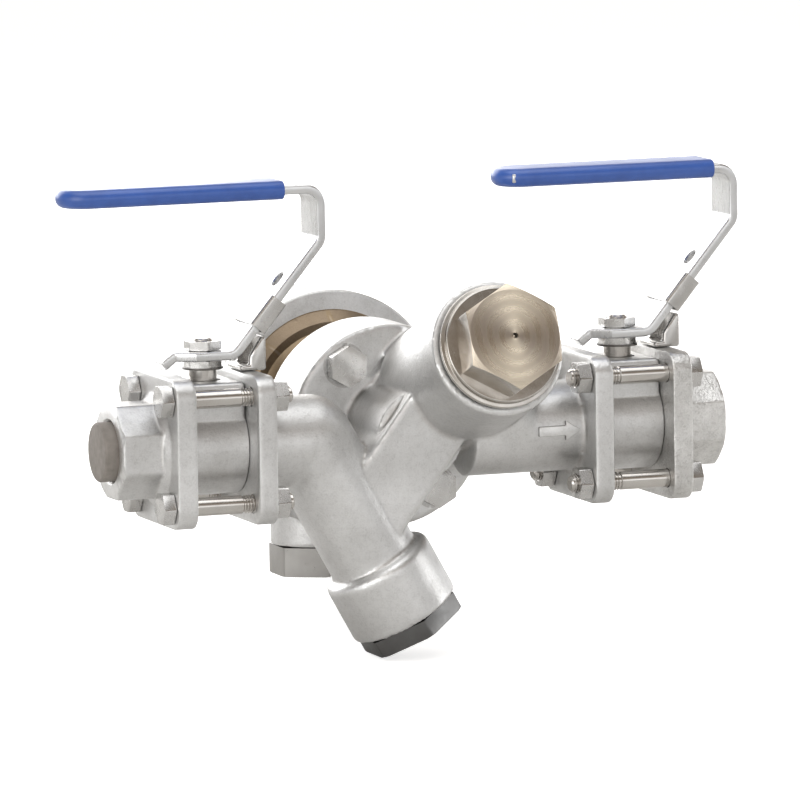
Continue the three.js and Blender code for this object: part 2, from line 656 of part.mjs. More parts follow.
// ---------------------------------------------------------------- trap
// A quarter of an ellipse that flares a neck out to the rim, as [radius, height] points.
const dish = (fromRadius, fromHeight, toRadius, toHeight, steps = 6) =>
  Array.from({ length: steps + 1 }, (_, i) => {
    const angle = (i / steps) * (Math.PI / 2);
    return [
      toRadius - (toRadius - fromRadius) * Math.cos(angle),
      fromHeight + (toHeight - fromHeight) * Math.sin(angle),
    ];
  });

// The trap's own frame has +Z to the rear and +Y down; height 0 is the joint plane of the connector flange.
function trapParts(centre) {
  const joint = group(centre, [0, connector.flangeBack, 0], [-Math.PI / 2, 0, 0]);
  const faceAt = gap + trap.gasketThick + gap;
  const holes = screwPlaces.map(([x, z]) => rod(screw.diameter / 2 + gap, -1, trap.ringBack + 1, 14).translate(x, -z, 0));
  const lipRadius = trap.lip / 2;
  const neckRadius = trap.neck / 2;

  node(joint, "trap_gasket", ring(lipRadius - gap, flange.hub + flange.groove, gap, gap + trap.gasketThick), graphite);
  const ringFrom = gap;
  node(joint, "trap_flange_ring",
    cut(
      rod(flangeRadius, ringFrom, trap.ringBack, 32),
      rod(lipRadius, ringFrom - 1, faceAt + trap.lipThick + gap, 28),
      rod(neckRadius + gap, 0, trap.ringBack + 1, 28),
      ...holes,
    ),
    castSteel);

  const rimRadius = trap.rim / 2;
  const rimAt = trap.rimFront;
  const rimBack = rimAt + trap.rimThick;
  const drumRadius = trap.drum / 2;
  const wall = trap.wall;
  const floorAt = rimAt - 4;
  const shellInside = drumRadius - wall;
  const outside = [
    [0, faceAt], [lipRadius - gap, faceAt], [lipRadius - gap, faceAt + trap.lipThick],
    [neckRadius, faceAt + trap.lipThick], [neckRadius, trap.neckEnd],
    ...dish(neckRadius, trap.neckEnd, rimRadius - trap.rimFace, rimAt),
    [rimRadius, rimAt], [rimRadius, rimBack],
  ];
  const inside = [[shellInside, rimBack], [shellInside, rimAt + 1], [shellInside - 6, floorAt], [0, floorAt]];
  const inletHoles = [0, 1, 2].map((i) => {
    const angle = radians(30 + 120 * i);
    return rod(trap.inletHole / 2, 0, floorAt + 1, 10).translate(trap.inletRadius * Math.cos(angle), trap.inletRadius * Math.sin(angle), 0);
  });
  node(joint, "trap_body",
    cut(revolve([...outside, ...inside], 32), rod(trap.port / 2, 0, floorAt + 1, 16), ...inletHoles),
    castSteel);

  const coverAt = rimBack + gap;
  const cover = revolve([
    [shellInside, coverAt], [rimRadius, coverAt], [rimRadius, coverAt + trap.rimThick],
    [drumRadius, coverAt + trap.rimThick], [drumRadius, trap.drumEnd - 7],
    [drumRadius - 2, trap.drumEnd - 3], [drumRadius - 7, trap.drumEnd], [0, trap.drumEnd + trap.dome - 2],
    [0, trap.drumEnd + trap.dome - 2 - wall], [shellInside - 5, trap.drumEnd - wall],
    [shellInside, trap.drumEnd - 8],
  ], 32);
  const downWay = axisY;
  const bossAt = [0, 0, drain.along];
  node(joint, "trap_cover",
    cut(
      join(cover, aim(rod(drain.boss / 2, drumRadius - wall - 1, drain.bossReach, 24), downWay, bossAt)),
      aim(rod(drain.bore / 2, drumRadius - wall - 8, drain.bossReach + 1, 18), downWay, bossAt),
      rod(shellInside, coverAt + 1, trap.drumEnd - 12, 32),
    ),
    castSteel);

  const cap = group(joint, [0, drain.bossReach + gap, drain.along], [-Math.PI / 2, 0, 0]);
  node(cap, "trap_bottom_cap",
    join(hexagon(drain.capFlats, 0, drain.capThick, false, true), rod(drain.bore / 2 - gap, -drain.plug, 1, 18)),
    turnedSteel);

  const seatTo = floorAt + gap + seat.thick;
  const hingeAlong = seatTo + float.hingeBack;
  const lug = (sign) => {
    const from = sign * (float.armWidth / 2 + gap);
    const to = sign * (float.armWidth / 2 + gap + seat.lugThick);
    return box(Math.min(from, to), Math.max(from, to), -float.hingeUp - 4, -float.hingeUp + 8,
      floorAt + gap, hingeAlong + float.pin);
  };
  node(joint, "trap_valve_seat",
    cut(
      join(
        rod(seat.diameter / 2, floorAt + gap, seatTo, 24),
        box(-float.armWidth, float.armWidth, -float.hingeUp - 4, 0, floorAt + gap, seatTo),
        lug(1),
        lug(-1),
        aim(rod(float.pin / 2, -float.armWidth / 2 - 1, float.armWidth / 2 + 1, 10), axisX,
          [0, -float.hingeUp, hingeAlong]),
      ),
      rod(seat.nozzle / 2, floorAt, seatTo + 1, 10),
    ),
    turnedSteel);

  const eye = aim(ring(float.pin / 2 + gap + 1.8, float.pin / 2 + gap, -float.armWidth / 2, float.armWidth / 2, 14),
    axisX, [0, -float.hingeUp, hingeAlong]);
  const plugTip = aim(rod(3.4, seatTo + gap, hingeAlong + 1, 14), axisZ);
  const arm = box(-float.armWidth / 2, float.armWidth / 2, -float.hingeUp + float.pin / 2 + gap + 0.4,
    float.drop, hingeAlong - 1, hingeAlong - 1 + float.armThick);
  const reach = rodBetween(2.4, [0, float.drop - 4, hingeAlong], [0, float.drop, float.along], 10);
  const floatBall = new THREE.SphereGeometry(float.diameter / 2, 32, 14).translate(0, float.drop, float.along);
  node(joint, "trap_float", join(eye, arm, plugTip, reach, floatBall), sheetSteel);
}

// ---------------------------------------------------------------- the station
const station = new THREE.Group();
valve(station, "inlet_", inletX, -1, grip.inletTip);
valve(station, "outlet_", outletX, 1, grip.outletTip);
const mouth = group(station, [0, 0, 0], [0, -Math.PI / 2, 0]);
node(mouth, "inlet_port_plug",
  cut(
    revolve([
      [0, -plug.insert], [port.bore / 2 - gap, -plug.insert], [port.bore / 2 - gap, plug.head - 1],
      [port.bore / 2 - gap - 1, plug.head], [0, plug.head],
    ]),
    rod(port.bore / 2 - gap - plug.wall, -plug.insert - 1, plug.head - plug.wall, 20),
  ),
  greyPlastic);
const centre = connectorParts(station);
trapParts(centre);

export default station;
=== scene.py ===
# %% [markdown]
# # A steam trapping station
# Two three-piece ball valves stand either side of a one-piece connector casting. The casting turns
# the flow down into a strainer, back past a check valve and through a flange to a float trap behind.
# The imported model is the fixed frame: it says where every piece goes and how it moves. This lesson
# makes each visible piece again with its cast fillets, chamfers and threads, and gives all of them
# their finishes.

# %% Load the frame
import json
import math

import bmesh
import bpy
from mathutils import Matrix, Vector

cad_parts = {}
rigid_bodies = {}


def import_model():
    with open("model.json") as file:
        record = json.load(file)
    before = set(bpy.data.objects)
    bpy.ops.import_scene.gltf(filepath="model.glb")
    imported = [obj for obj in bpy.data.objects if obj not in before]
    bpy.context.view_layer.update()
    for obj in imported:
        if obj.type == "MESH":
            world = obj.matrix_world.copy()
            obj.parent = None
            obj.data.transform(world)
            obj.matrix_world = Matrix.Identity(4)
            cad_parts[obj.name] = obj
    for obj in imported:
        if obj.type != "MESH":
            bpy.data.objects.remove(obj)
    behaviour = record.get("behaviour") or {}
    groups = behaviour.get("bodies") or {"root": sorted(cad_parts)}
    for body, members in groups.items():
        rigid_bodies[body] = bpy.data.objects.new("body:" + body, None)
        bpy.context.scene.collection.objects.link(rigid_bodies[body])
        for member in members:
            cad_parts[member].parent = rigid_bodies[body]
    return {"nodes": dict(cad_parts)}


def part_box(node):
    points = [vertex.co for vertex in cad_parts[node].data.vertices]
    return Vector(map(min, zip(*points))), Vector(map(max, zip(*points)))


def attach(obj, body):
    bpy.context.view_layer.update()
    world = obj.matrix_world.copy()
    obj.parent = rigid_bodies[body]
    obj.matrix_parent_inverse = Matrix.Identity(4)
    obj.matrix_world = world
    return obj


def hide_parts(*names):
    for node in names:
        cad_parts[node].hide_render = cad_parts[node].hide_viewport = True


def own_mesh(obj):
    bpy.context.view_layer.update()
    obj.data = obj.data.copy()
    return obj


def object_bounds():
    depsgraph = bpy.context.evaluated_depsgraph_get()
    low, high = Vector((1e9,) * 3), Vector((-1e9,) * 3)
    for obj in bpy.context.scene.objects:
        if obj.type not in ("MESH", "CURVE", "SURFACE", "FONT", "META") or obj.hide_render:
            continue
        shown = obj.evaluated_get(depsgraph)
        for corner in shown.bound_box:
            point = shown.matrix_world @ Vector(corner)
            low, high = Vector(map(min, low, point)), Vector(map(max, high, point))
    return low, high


for spare in list(bpy.data.objects):
    bpy.data.objects.remove(spare)
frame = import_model()
frame_box = [list(corner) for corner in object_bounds()]
print("frame box in metres:", frame_box)

# %% [markdown]
# ## Places from the frame
# The drawings below are in millimetres, because that is how fittings are dimensioned, and Blender
# works in metres. So one number turns millimetres into metres, and the places of the valves, the
# casting and the trap are read from the boxes of their nodes.

# %% Millimetres, and where things stand
MM = 0.001


def box_mm(node):
    low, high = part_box(node)
    return Vector(low) / MM, Vector(high) / MM


def middle(node):
    low, high = box_mm(node)
    return (low + high) / 2


inlet_x = middle("inlet_valve_body").x
outlet_x = middle("outlet_valve_body").x
connector_low, connector_high = box_mm("connector_body")
centre_x = (connector_low.x + connector_high.x) / 2
half_run = (connector_high.x - connector_low.x) / 2


def in_scene(name, data):
    """An object in the scene that holds this mesh, lamp or camera."""
    thing = bpy.data.objects.new(name, data)
    bpy.context.collection.objects.link(thing)
    return thing


print("valves at", round(inlet_x, 2), round(outlet_x, 2), "casting at", round(centre_x, 2))

# %% [markdown]
# ## The camera
# A long lens far away keeps parallel edges parallel, as a catalogue picture has them. It stands a
# little to the left of the front and a little above, and leans by less than a degree.

# %% Camera
CAMERA_TURN = math.radians(19.857)
CAMERA_RISE = math.radians(6.914)
CAMERA_LEAN = math.radians(0.882)
CAMERA_AWAY = 4000.0
CAMERA_SHIFT = (5.561, -14.623)
SENSOR = 36.0
VIEW_WIDTH = 349.6

forward = Vector((
    math.sin(CAMERA_TURN) * math.cos(CAMERA_RISE),
    math.cos(CAMERA_TURN) * math.cos(CAMERA_RISE),
    -math.sin(CAMERA_RISE),
))
level = Vector((math.cos(CAMERA_TURN), -math.sin(CAMERA_TURN), 0))
upward = level.cross(forward)
right = level * math.cos(CAMERA_LEAN) - upward * math.sin(CAMERA_LEAN)
up = level * math.sin(CAMERA_LEAN) + upward * math.cos(CAMERA_LEAN)
aim_point = Vector((centre_x, 0, 0))
stand = aim_point - CAMERA_AWAY * forward - CAMERA_SHIFT[0] * right - CAMERA_SHIFT[1] * up

camera = in_scene("camera", bpy.data.cameras.new("camera"))
camera.data.sensor_width = SENSOR
camera.data.lens = SENSOR * CAMERA_AWAY / VIEW_WIDTH
camera.data.clip_end = 100
camera.matrix_world = Matrix((
    (right.x, up.x, -forward.x, stand.x * MM),
    (right.y, up.y, -forward.y, stand.y * MM),
    (right.z, up.z, -forward.z, stand.z * MM),
    (0, 0, 0, 1),
))
bpy.context.scene.camera = camera
bpy.context.scene.view_settings.view_transform = "Standard"
print("lens", round(camera.data.lens, 1), "mm")

# %% [markdown]
# ## Floor and light
# Bright metal shows its surroundings, so the light is what makes it look like metal. A pale floor
# runs far back, a broad soft panel hangs over the station, a second stands at the front left, and the
# world behind them is pale low down and darker and warmer overhead, which gives the castings a tone
# to mirror. The floor is white to look at and greyer in reflections, as a sheet of paper is under a
# part that stands on a block. Everything stays soft, as in a light tent.

# %% A small kit for nodes
def feed(tree, node, inputs):
    """Feeds a node's inputs, named by label or number, with values or with other nodes' outputs."""
    for label, value in inputs.items():
        if isinstance(value, bpy.types.NodeSocket):
            tree.links.new(value, node.inputs[label])
        else:
            node.inputs[label].default_value = value


def new_node(tree, kind, inputs, **settings):
    node = tree.nodes.new("ShaderNode" + kind)
    for label, value in settings.items():
        setattr(node, label, value)
    feed(tree, node, inputs)
    return node


# %% Floor
FLOOR_SEEN = (0.9, 0.9, 0.9, 1)
FLOOR_MIRRORED = (0.68, 0.675, 0.66, 1)
FLOOR_GLOW = 0.62
FLOOR_HALF = 12
FLOOR_DROP = 0.001
floor = in_scene("floor", bpy.data.meshes.new("floor"))
floor_drawing = bmesh.new()
bmesh.ops.create_grid(floor_drawing, x_segments=1, y_segments=1, size=FLOOR_HALF)
bmesh.ops.translate(floor_drawing, verts=floor_drawing.verts, vec=(0, 0, frame_box[0][2] - FLOOR_DROP))
floor_drawing.to_mesh(floor.data)
floor_drawing.free()
floor_paint = bpy.data.materials.new("floor_paint")
floor_paint.use_nodes = True
floor_tree = floor_paint.node_tree
seen = new_node(floor_tree, "LightPath", {}).outputs["Is Camera Ray"]
floor_tone = new_node(floor_tree, "Mix", {0: seen, 6: FLOOR_MIRRORED, 7: FLOOR_SEEN}, data_type="RGBA")
floor_glow = new_node(floor_tree, "Math", {0: seen, 1: FLOOR_GLOW}, operation="MULTIPLY")
feed(floor_tree, floor_tree.nodes["Principled BSDF"], {
    "Base Color": floor_tone.outputs[2],
    "Roughness": 0.9,
    "Specular IOR Level": 0.1,
    "Emission Color": (1, 1, 1, 1),
    "Emission Strength": floor_glow.outputs["Value"],
})
floor.data.materials.append(floor_paint)


# %% Panels
def panel(name, position, size, power):
    lamp = bpy.data.lights.new(name, "AREA")
    lamp.shape = "RECTANGLE"
    lamp.size, lamp.size_y = size
    lamp.energy = power
    holder = in_scene(name, lamp)
    holder.location = position
    holder.rotation_euler = (aim_point * MM - Vector(position)).to_track_quat("-Z", "Y").to_euler()


panel("roof_panel", (0.1, -0.2, 1.5), (1.8, 1.3), 13)
panel("front_left_panel", (-1.7, -1.5, 0.5), (1.4, 1.6), 15)
panel("right_panel", (1.9, -0.3, 0.5), (0.5, 1.2), 7)
panel("back_panel", (-0.3, 2.3, 0.95), (2.8, 1.7), 44)

# %% World
TENT_TONES = [
    (0.00, (0.42, 0.42, 0.42)),
    (0.49, (0.70, 0.70, 0.70)),
    (0.52, (1.62, 1.62, 1.63)),
    (0.60, (1.50, 1.50, 1.51)),
    (0.69, (0.42, 0.36, 0.30)),
    (0.80, (0.32, 0.265, 0.215)),
    (0.88, (0.60, 0.585, 0.57)),
    (1.00, (0.80, 0.80, 0.80)),
]
tent = bpy.data.worlds.new("light_tent")
bpy.context.scene.world = tent
tent.use_nodes = True
sky = tent.node_tree
where = new_node(sky, "TexCoord", {}).outputs["Generated"]
split = new_node(sky, "SeparateXYZ", {"Vector": where})
height = new_node(sky, "MapRange", {"Value": split.outputs["Z"], "From Min": -1})
tones = new_node(sky, "ValToRGB", {"Fac": height.outputs["Result"]})
while len(tones.color_ramp.elements) < len(TENT_TONES):
    tones.color_ramp.elements.new(0.5)
for stop, (position, colour) in zip(tones.color_ramp.elements, TENT_TONES):
    stop.position = position
    stop.color = (*colour, 1)

# %% [markdown]
# The tent is brightest straight in front and straight behind and falls off to both sides, so a round
# pipe is light along its middle, darker further round, and has a thin bright rim. A direction's share
# of the forward way is a dot product, and a ramp turns its size into a factor for the first.

# %% The dark sides of the tent
FRONTWARD = (-0.45, -0.89, 0)
frontward = new_node(sky, "VectorMath", {0: where, 1: FRONTWARD}, operation="DOT_PRODUCT")
either_way = new_node(sky, "Math", {0: frontward.outputs["Value"]}, operation="ABSOLUTE")
side = new_node(
    sky, "MapRange",
    {"Value": either_way.outputs["Value"], "From Min": 0.15, "From Max": 0.8, "To Min": 0.38, "To Max": 1.06},
    interpolation_type="SMOOTHSTEP")
darkened = new_node(
    sky, "VectorMath", {0: tones.outputs["Color"], "Scale": side.outputs["Result"]}, operation="SCALE")
feed(sky, sky.nodes["Background"], {"Color": darkened.outputs["Vector"], "Strength": 1.0})


# %% [markdown]
# ## Node groups for the finishes
# A cast, blasted surface, a turned face and a handled edge turn up on many pieces, so each effect is
# one node group with its own inputs. A group only puts out a height or a mask. The shader, and every
# number that is the same all over a surface, stays in the material.

# %% A small kit for groups
def new_group(name, inputs, outputs):
    group = bpy.data.node_groups.new(name, "ShaderNodeTree")
    for label, kind, value in inputs:
        socket = group.interface.new_socket(label, in_out="INPUT", socket_type=kind)
        socket.default_value = value
    for label in outputs:
        group.interface.new_socket(label, in_out="OUTPUT", socket_type="NodeSocketFloat")
    return group, group.nodes.new("NodeGroupInput").outputs, group.nodes.new("NodeGroupOutput")


def noise(tree, vector, scale, detail=3.0):
    inputs = {"Vector": vector, "Scale": scale, "Detail": detail, "Roughness": 0.55}
    return new_node(tree, "TexNoise", inputs).outputs["Fac"]


def spread(tree, value, low, high, to_low=0.0, to_high=1.0):
    inputs = {"Value": value, "From Min": low, "From Max": high, "To Min": to_low, "To Max": to_high}
    return new_node(tree, "MapRange", inputs).outputs["Result"]


def maths(tree, work, *values):
    return new_node(tree, "Math", dict(enumerate(values)), operation=work).outputs["Value"]


def times(tree, first, second):
    return maths(tree, "MULTIPLY", first, second)


# %% [markdown]
# ### Cast grain
# An investment casting that has been shot blasted is covered in dimples well under a millimetre
# across, over a slower unevenness, with a few deeper pits. Two noises and a Voronoi give the height,
# and a slow noise gives a mask for patches that took the blast differently.

# %% Cast grain group
cast_grain, entry, leave = new_group(
    "cast_grain",
    [("Vector", "NodeSocketVector", (0, 0, 0)), ("Pits", "NodeSocketFloat", 0.3)],
    ["Height", "Patches", "Speckle"])
fine = noise(cast_grain, entry["Vector"], 1300, 2)
middling = noise(cast_grain, entry["Vector"], 420)
slow = noise(cast_grain, entry["Vector"], 130)
pit = new_node(cast_grain, "TexVoronoi", {"Vector": entry["Vector"], "Scale": 210})
sparse = spread(cast_grain, noise(cast_grain, entry["Vector"], 70, 1), 0.56, 0.66)
pit_depth = times(cast_grain, spread(cast_grain, pit.outputs["Distance"], 0.0, 0.22, 1, 0), sparse)
pit_depth = times(cast_grain, pit_depth, entry["Pits"])
grain_height = maths(cast_grain, "ADD", times(cast_grain, fine, 0.45), slow)
grain_height = maths(cast_grain, "ADD", times(cast_grain, middling, 0.6), grain_height)
grain_height = maths(cast_grain, "SUBTRACT", grain_height, times(cast_grain, pit_depth, 3.0))
feed(cast_grain, leave, {
    "Height": grain_height,
    "Patches": spread(cast_grain, noise(cast_grain, entry["Vector"], 28, 4), 0.35, 0.68),
    "Speckle": times(cast_grain, spread(cast_grain, fine, 0.35, 0.7), spread(cast_grain, middling, 0.3, 0.7)),
})

# %% [markdown]
# ### Turned lines
# A lathe tool leaves fine rings about the axis it turned on. A wave texture in rings mode does that,
# fed with coordinates that a Mapping node has centred on that axis. A noise breaks the rings up,
# because no two passes cut the same.

# %% Turned lines group
turned_lines, entry, leave = new_group(
    "turned_lines", [("Vector", "NodeSocketVector", (0, 0, 0))], ["Height", "Bands"])
for label, scale, distortion, detail in (("Height", 900, 0.6, 2), ("Bands", 55, 3.0, 4)):
    inputs = {"Vector": entry["Vector"], "Scale": scale, "Distortion": distortion, "Detail": detail}
    wave = new_node(turned_lines, "TexWave", inputs, wave_type="RINGS", rings_direction="Z")
    feed(turned_lines, leave, {label: wave.outputs["Fac"]})

# %% [markdown]
# ### Edge wear and crease shade
# Handling and tumbling polish the corners of a metal part, and the hollows are given painted shade.
# The shape's own pointiness finds both, and a noise keeps the worn line from being even.

# %% Edge wear and painted crease shade group
edge_wear_and_crease_shade, entry, leave = new_group(
    "edge_wear_and_crease_shade",
    [("Vector", "NodeSocketVector", (0, 0, 0)), ("Amount", "NodeSocketFloat", 0.5)],
    ["Worn", "Crease_shade"])
pointiness = new_node(edge_wear_and_crease_shade, "NewGeometry", {}).outputs["Pointiness"]
ragged = spread(edge_wear_and_crease_shade, noise(edge_wear_and_crease_shade, entry["Vector"], 240), 0.3, 0.7, 0.35, 1)
worn = times(edge_wear_and_crease_shade, times(edge_wear_and_crease_shade, spread(edge_wear_and_crease_shade, pointiness, 0.51, 0.58), ragged), entry["Amount"])
# The second output is painted shade: it is high in creases and hollows, where light reaches less.
feed(edge_wear_and_crease_shade, leave, {"Worn": worn, "Crease_shade": spread(edge_wear_and_crease_shade, pointiness, 0.49, 0.43)})

# %% [markdown]
# ## Finishes
# Each finish is one Principled shader. The colour and the roughness are mixed by masks, and the
# height goes through a Bump node. Distances are real: half a tenth of a millimetre of relief on a
# casting, a hundredth on a turned face.

# %% A kit for finishes
def new_finish(name, **sockets):
    """A material, its tree, its shader and the object's own coordinates."""
    material = bpy.data.materials.new(name)
    material.use_nodes = True
    tree = material.node_tree
    shader = tree.nodes["Principled BSDF"]
    feed(tree, shader, {label.replace("_", " "): value for label, value in sockets.items()})
    return material, tree, shader, new_node(tree, "TexCoord", {}).outputs["Object"]


def use_group(tree, group, vector, **values):
    return new_node(tree, "Group", {"Vector": vector, **values}, node_tree=group).outputs


def blend_colour(tree, mask, *tones):
    first, second = ((*tone, 1) if isinstance(tone, tuple) else tone for tone in tones)
    return new_node(tree, "Mix", {0: mask, 6: first, 7: second}, data_type="RGBA").outputs[2]


def dress(tree, shader, colour, roughness, height, relief):
    """Feeds the shader its colour and roughness, and a height through a Bump node."""
    normal = new_node(tree, "Bump", {"Height": height, "Distance": relief, "Strength": 1.0}).outputs["Normal"]
    feed(tree, shader, {"Base Color": colour, "Roughness": roughness, "Normal": normal})


# %% [markdown]
# ### Blasted castings
# The castings are stainless steel, blasted to an even satin. They are metal with a broad gloss, a
# little brighter on worn corners, and painted a little darker and browner in hollows as shade.

# %% Cast steel
# The tone of the painted shade in creases and hollows.
CREASE_SHADE_TONE = (0.24, 0.20, 0.17)


def cast_finish(name, light, shade, worn_tone, rough, relief, pits):
    material, tree, shader, place = new_finish(name, Metallic=1.0)
    grain = use_group(tree, cast_grain, place, Pits=pits)
    wear_and_shade = use_group(tree, edge_wear_and_crease_shade, place, Amount=0.75)
    tone = maths(tree, "ADD", times(tree, grain["Patches"], 0.55), times(tree, grain["Speckle"], 0.45))
    colour = blend_colour(tree, tone, light, shade)
    # Painted shade: hollows are darkened towards the shade tone.
    colour = blend_colour(tree, times(tree, wear_and_shade["Crease_shade"], 0.75), colour, CREASE_SHADE_TONE)
    colour = blend_colour(tree, wear_and_shade["Worn"], colour, worn_tone)
    roughness = spread(tree, grain["Patches"], 0, 1, rough, rough + 0.08)
    roughness = maths(tree, "SUBTRACT", roughness, times(tree, wear_and_shade["Worn"], 0.14))
    dress(tree, shader, colour, roughness, grain["Height"], relief)
    return material


blasted_cast = cast_finish(
    "blasted_cast", (0.75, 0.75, 0.745), (0.48, 0.475, 0.465), (0.88, 0.88, 0.87), 0.40, 0.0002, 0.25)
coarse_cast = cast_finish(
    "coarse_cast", (0.78, 0.775, 0.76), (0.30, 0.29, 0.275), (0.92, 0.92, 0.90), 0.34, 0.0006, 0.1)
# The dish's finish is painted shade: the cast steel made darker and browner than on the rim.
dish_painted_shade_cast = cast_finish(
    "dish_painted_shade_cast", (0.28, 0.215, 0.14), (0.19, 0.14, 0.09), (0.60, 0.54, 0.46), 0.36, 0.00015, 0.5)
# Painted shade for the sides of the raised flow arrow: a darker cast tone that outlines it.
arrow_side_painted_shade = cast_finish(
    "arrow_side_painted_shade", (0.30, 0.29, 0.28), (0.20, 0.19, 0.18), (0.5, 0.5, 0.5), 0.45, 0.0001, 0.1)


# %% [markdown]
# ### Turned, rolled and polished steel
# A turned face has rings about its own axis, so this finish is made once for each axis it is needed
# on. Light gathers in wedges on such rings, and a radial gradient through a sine paints those wedges
# in as highlight. Sheet steel is rolled, which draws a fine grain along one way. Bolts are bright all over.

# %% Turned steel
SHEEN_WEDGES = 2
SHEEN_START = 2.2
BAND_SHARE = 0.3


def turned_finish(name, centre, turn, light, shade, rough):
    material, tree, shader, place = new_finish(name, Metallic=1.0)
    centred = new_node(tree, "VectorMath", {0: place, 1: Vector(centre) * MM}, operation="SUBTRACT")
    upright = new_node(
        tree, "VectorRotate", {"Vector": centred.outputs["Vector"], "Rotation": turn},
        rotation_type="EULER_XYZ").outputs["Vector"]
    lines = use_group(tree, turned_lines, upright)
    # Painted highlight: wedges of light and shade around the axis, mixed with the turned bands.
    around = new_node(tree, "TexGradient", {"Vector": upright}, gradient_type="RADIAL").outputs["Fac"]
    angle = maths(tree, "MULTIPLY_ADD", around, SHEEN_WEDGES * 2 * math.pi, SHEEN_START)
    wedge = spread(tree, maths(tree, "SINE", angle), -1, 1)
    sheen = new_node(tree, "Mix", {"Factor": BAND_SHARE, "A": wedge, "B": lines["Bands"]}).outputs["Result"]
    colour = blend_colour(tree, sheen, light, shade)
    roughness = spread(tree, lines["Bands"], 0, 1, rough, rough + 0.1)
    dress(tree, shader, colour, roughness, lines["Height"], 0.00003)
    return material


# %% Bright steel, sheet steel and thread steel
def smooth_finish(name, light, shade, rough, scale, stretch=(1, 1, 1), relief=0.000006):
    material, tree, shader, place = new_finish(name, Metallic=1.0)
    drawn = new_node(tree, "VectorMath", {0: place, 1: stretch}, operation="MULTIPLY")
    grain = noise(tree, drawn.outputs["Vector"], scale)
    smudge = spread(tree, noise(tree, place, 45), 0.35, 0.7)
    roughness = spread(tree, grain, 0.2, 0.8, rough - 0.05, rough + 0.08)
    dress(tree, shader, blend_colour(tree, smudge, light, shade), roughness, grain, relief)
    return material


bright_bolt = smooth_finish(
    "bright_bolt", (0.66, 0.655, 0.645), (0.50, 0.49, 0.475), 0.24, 300, (1, 1, 1), 0.000002)
tie_rod_steel = smooth_finish("tie_rod_steel", (0.62, 0.60, 0.57), (0.52, 0.49, 0.46), 0.2, 700, (0.05, 1, 1))
rolled_sheet = smooth_finish(
    "rolled_sheet", (0.74, 0.745, 0.75), (0.60, 0.60, 0.60), 0.27, 1400, (0.08, 1, 0.08), 0.000003)
folded_sheet = smooth_finish(
    "folded_sheet", (0.60, 0.59, 0.575), (0.45, 0.435, 0.415), 0.25, 1200, (0.1, 1, 0.1), 0.000003)
# The real dark washer finish, also given to the wall of the check cap's centre hole as painted shade.
dark_washer_and_hole_shade = smooth_finish("dark_washer_and_hole_shade", (0.20, 0.19, 0.18), (0.14, 0.13, 0.12), 0.4, 900)
dark_cap = smooth_finish(
    "dark_cap", (0.17, 0.17, 0.168), (0.125, 0.122, 0.12), 0.36, 500, (1, 1, 1), 0.00002)
grey_turned = smooth_finish(
    "grey_turned", (0.40, 0.39, 0.375), (0.31, 0.30, 0.285), 0.3, 600, (1, 1, 1), 0.00001)
collar_steel = smooth_finish(
    "collar_steel", (0.62, 0.60, 0.57), (0.42, 0.39, 0.35), 0.2, 300, (1, 1, 1), 0.000004)
milled_flat = smooth_finish(
    "milled_flat", (0.78, 0.75, 0.71), (0.56, 0.51, 0.45), 0.14, 260, (1, 0.15, 1), 0.000012)


# %% [markdown]
# ### Plastic, vinyl and seals
# The grips are dipped vinyl: a soft gloss, an even blue and a faint ripple from the dip. The thread
# plug is a grey brown moulding, and the seals and packings are matt.

# %% Plastics
def moulded_finish(name, light, shade, rough, scale, relief, coat=0.0):
    material, tree, shader, place = new_finish(name, Metallic=0.0, Coat_Weight=coat, Coat_Roughness=0.3)
    mottling = noise(tree, place, scale, 4)
    colour = blend_colour(tree, spread(tree, mottling, 0.3, 0.7), light, shade)
    dress(tree, shader, colour, spread(tree, mottling, 0.2, 0.8, rough, rough + 0.12), mottling, relief)
    return material


blue_vinyl = moulded_finish(
    "dipped_vinyl", (0.040, 0.115, 0.43), (0.030, 0.090, 0.35), 0.28, 120, 0.0001, 0.4)
plug_plastic = moulded_finish("plug_plastic", (0.26, 0.235, 0.21), (0.20, 0.18, 0.16), 0.55, 260, 0.00004)
seal_white = moulded_finish("seal_ivory", (0.78, 0.77, 0.73), (0.70, 0.69, 0.65), 0.5, 400, 0.00001)
graphite = moulded_finish(
    "pressed_graphite", (0.035, 0.035, 0.037), (0.022, 0.022, 0.023), 0.65, 700, 0.00003)
print("finishes:", [m.name for m in bpy.data.materials])


# %% [markdown]
# ## Drawing tools
# Almost every part of the station is turned, hexagonal or folded from sheet. So a few helpers draw
# those about an upright axis, and a matrix puts each where it belongs before its object is made. Every
# finished object stays at the origin, with its place in its mesh.

# %% Turned shapes
ROUND_STEPS = 96


def round_corners(points, radii, steps=5):
    """A line of (across, up) points with an arc at each corner that has a radius."""
    line = []
    for i, (here, radius) in enumerate(zip(points, radii)):
        here = Vector(here)
        if radius == 0 or i in (0, len(points) - 1):
            line.append(here)
            continue
        back = (Vector(points[i - 1]) - here).normalized()
        onward = (Vector(points[i + 1]) - here).normalized()
        half = back.angle(onward) / 2
        centre = here + (back + onward).normalized() * radius / math.sin(half)
        start = here + back * radius / math.tan(half) - centre
        sweep = start.angle_signed(here + onward * radius / math.tan(half) - centre)
        for k in range(steps + 1):
            turn = Matrix.Rotation(-sweep * k / steps, 2)
            line.append(centre + turn @ start)
    return line


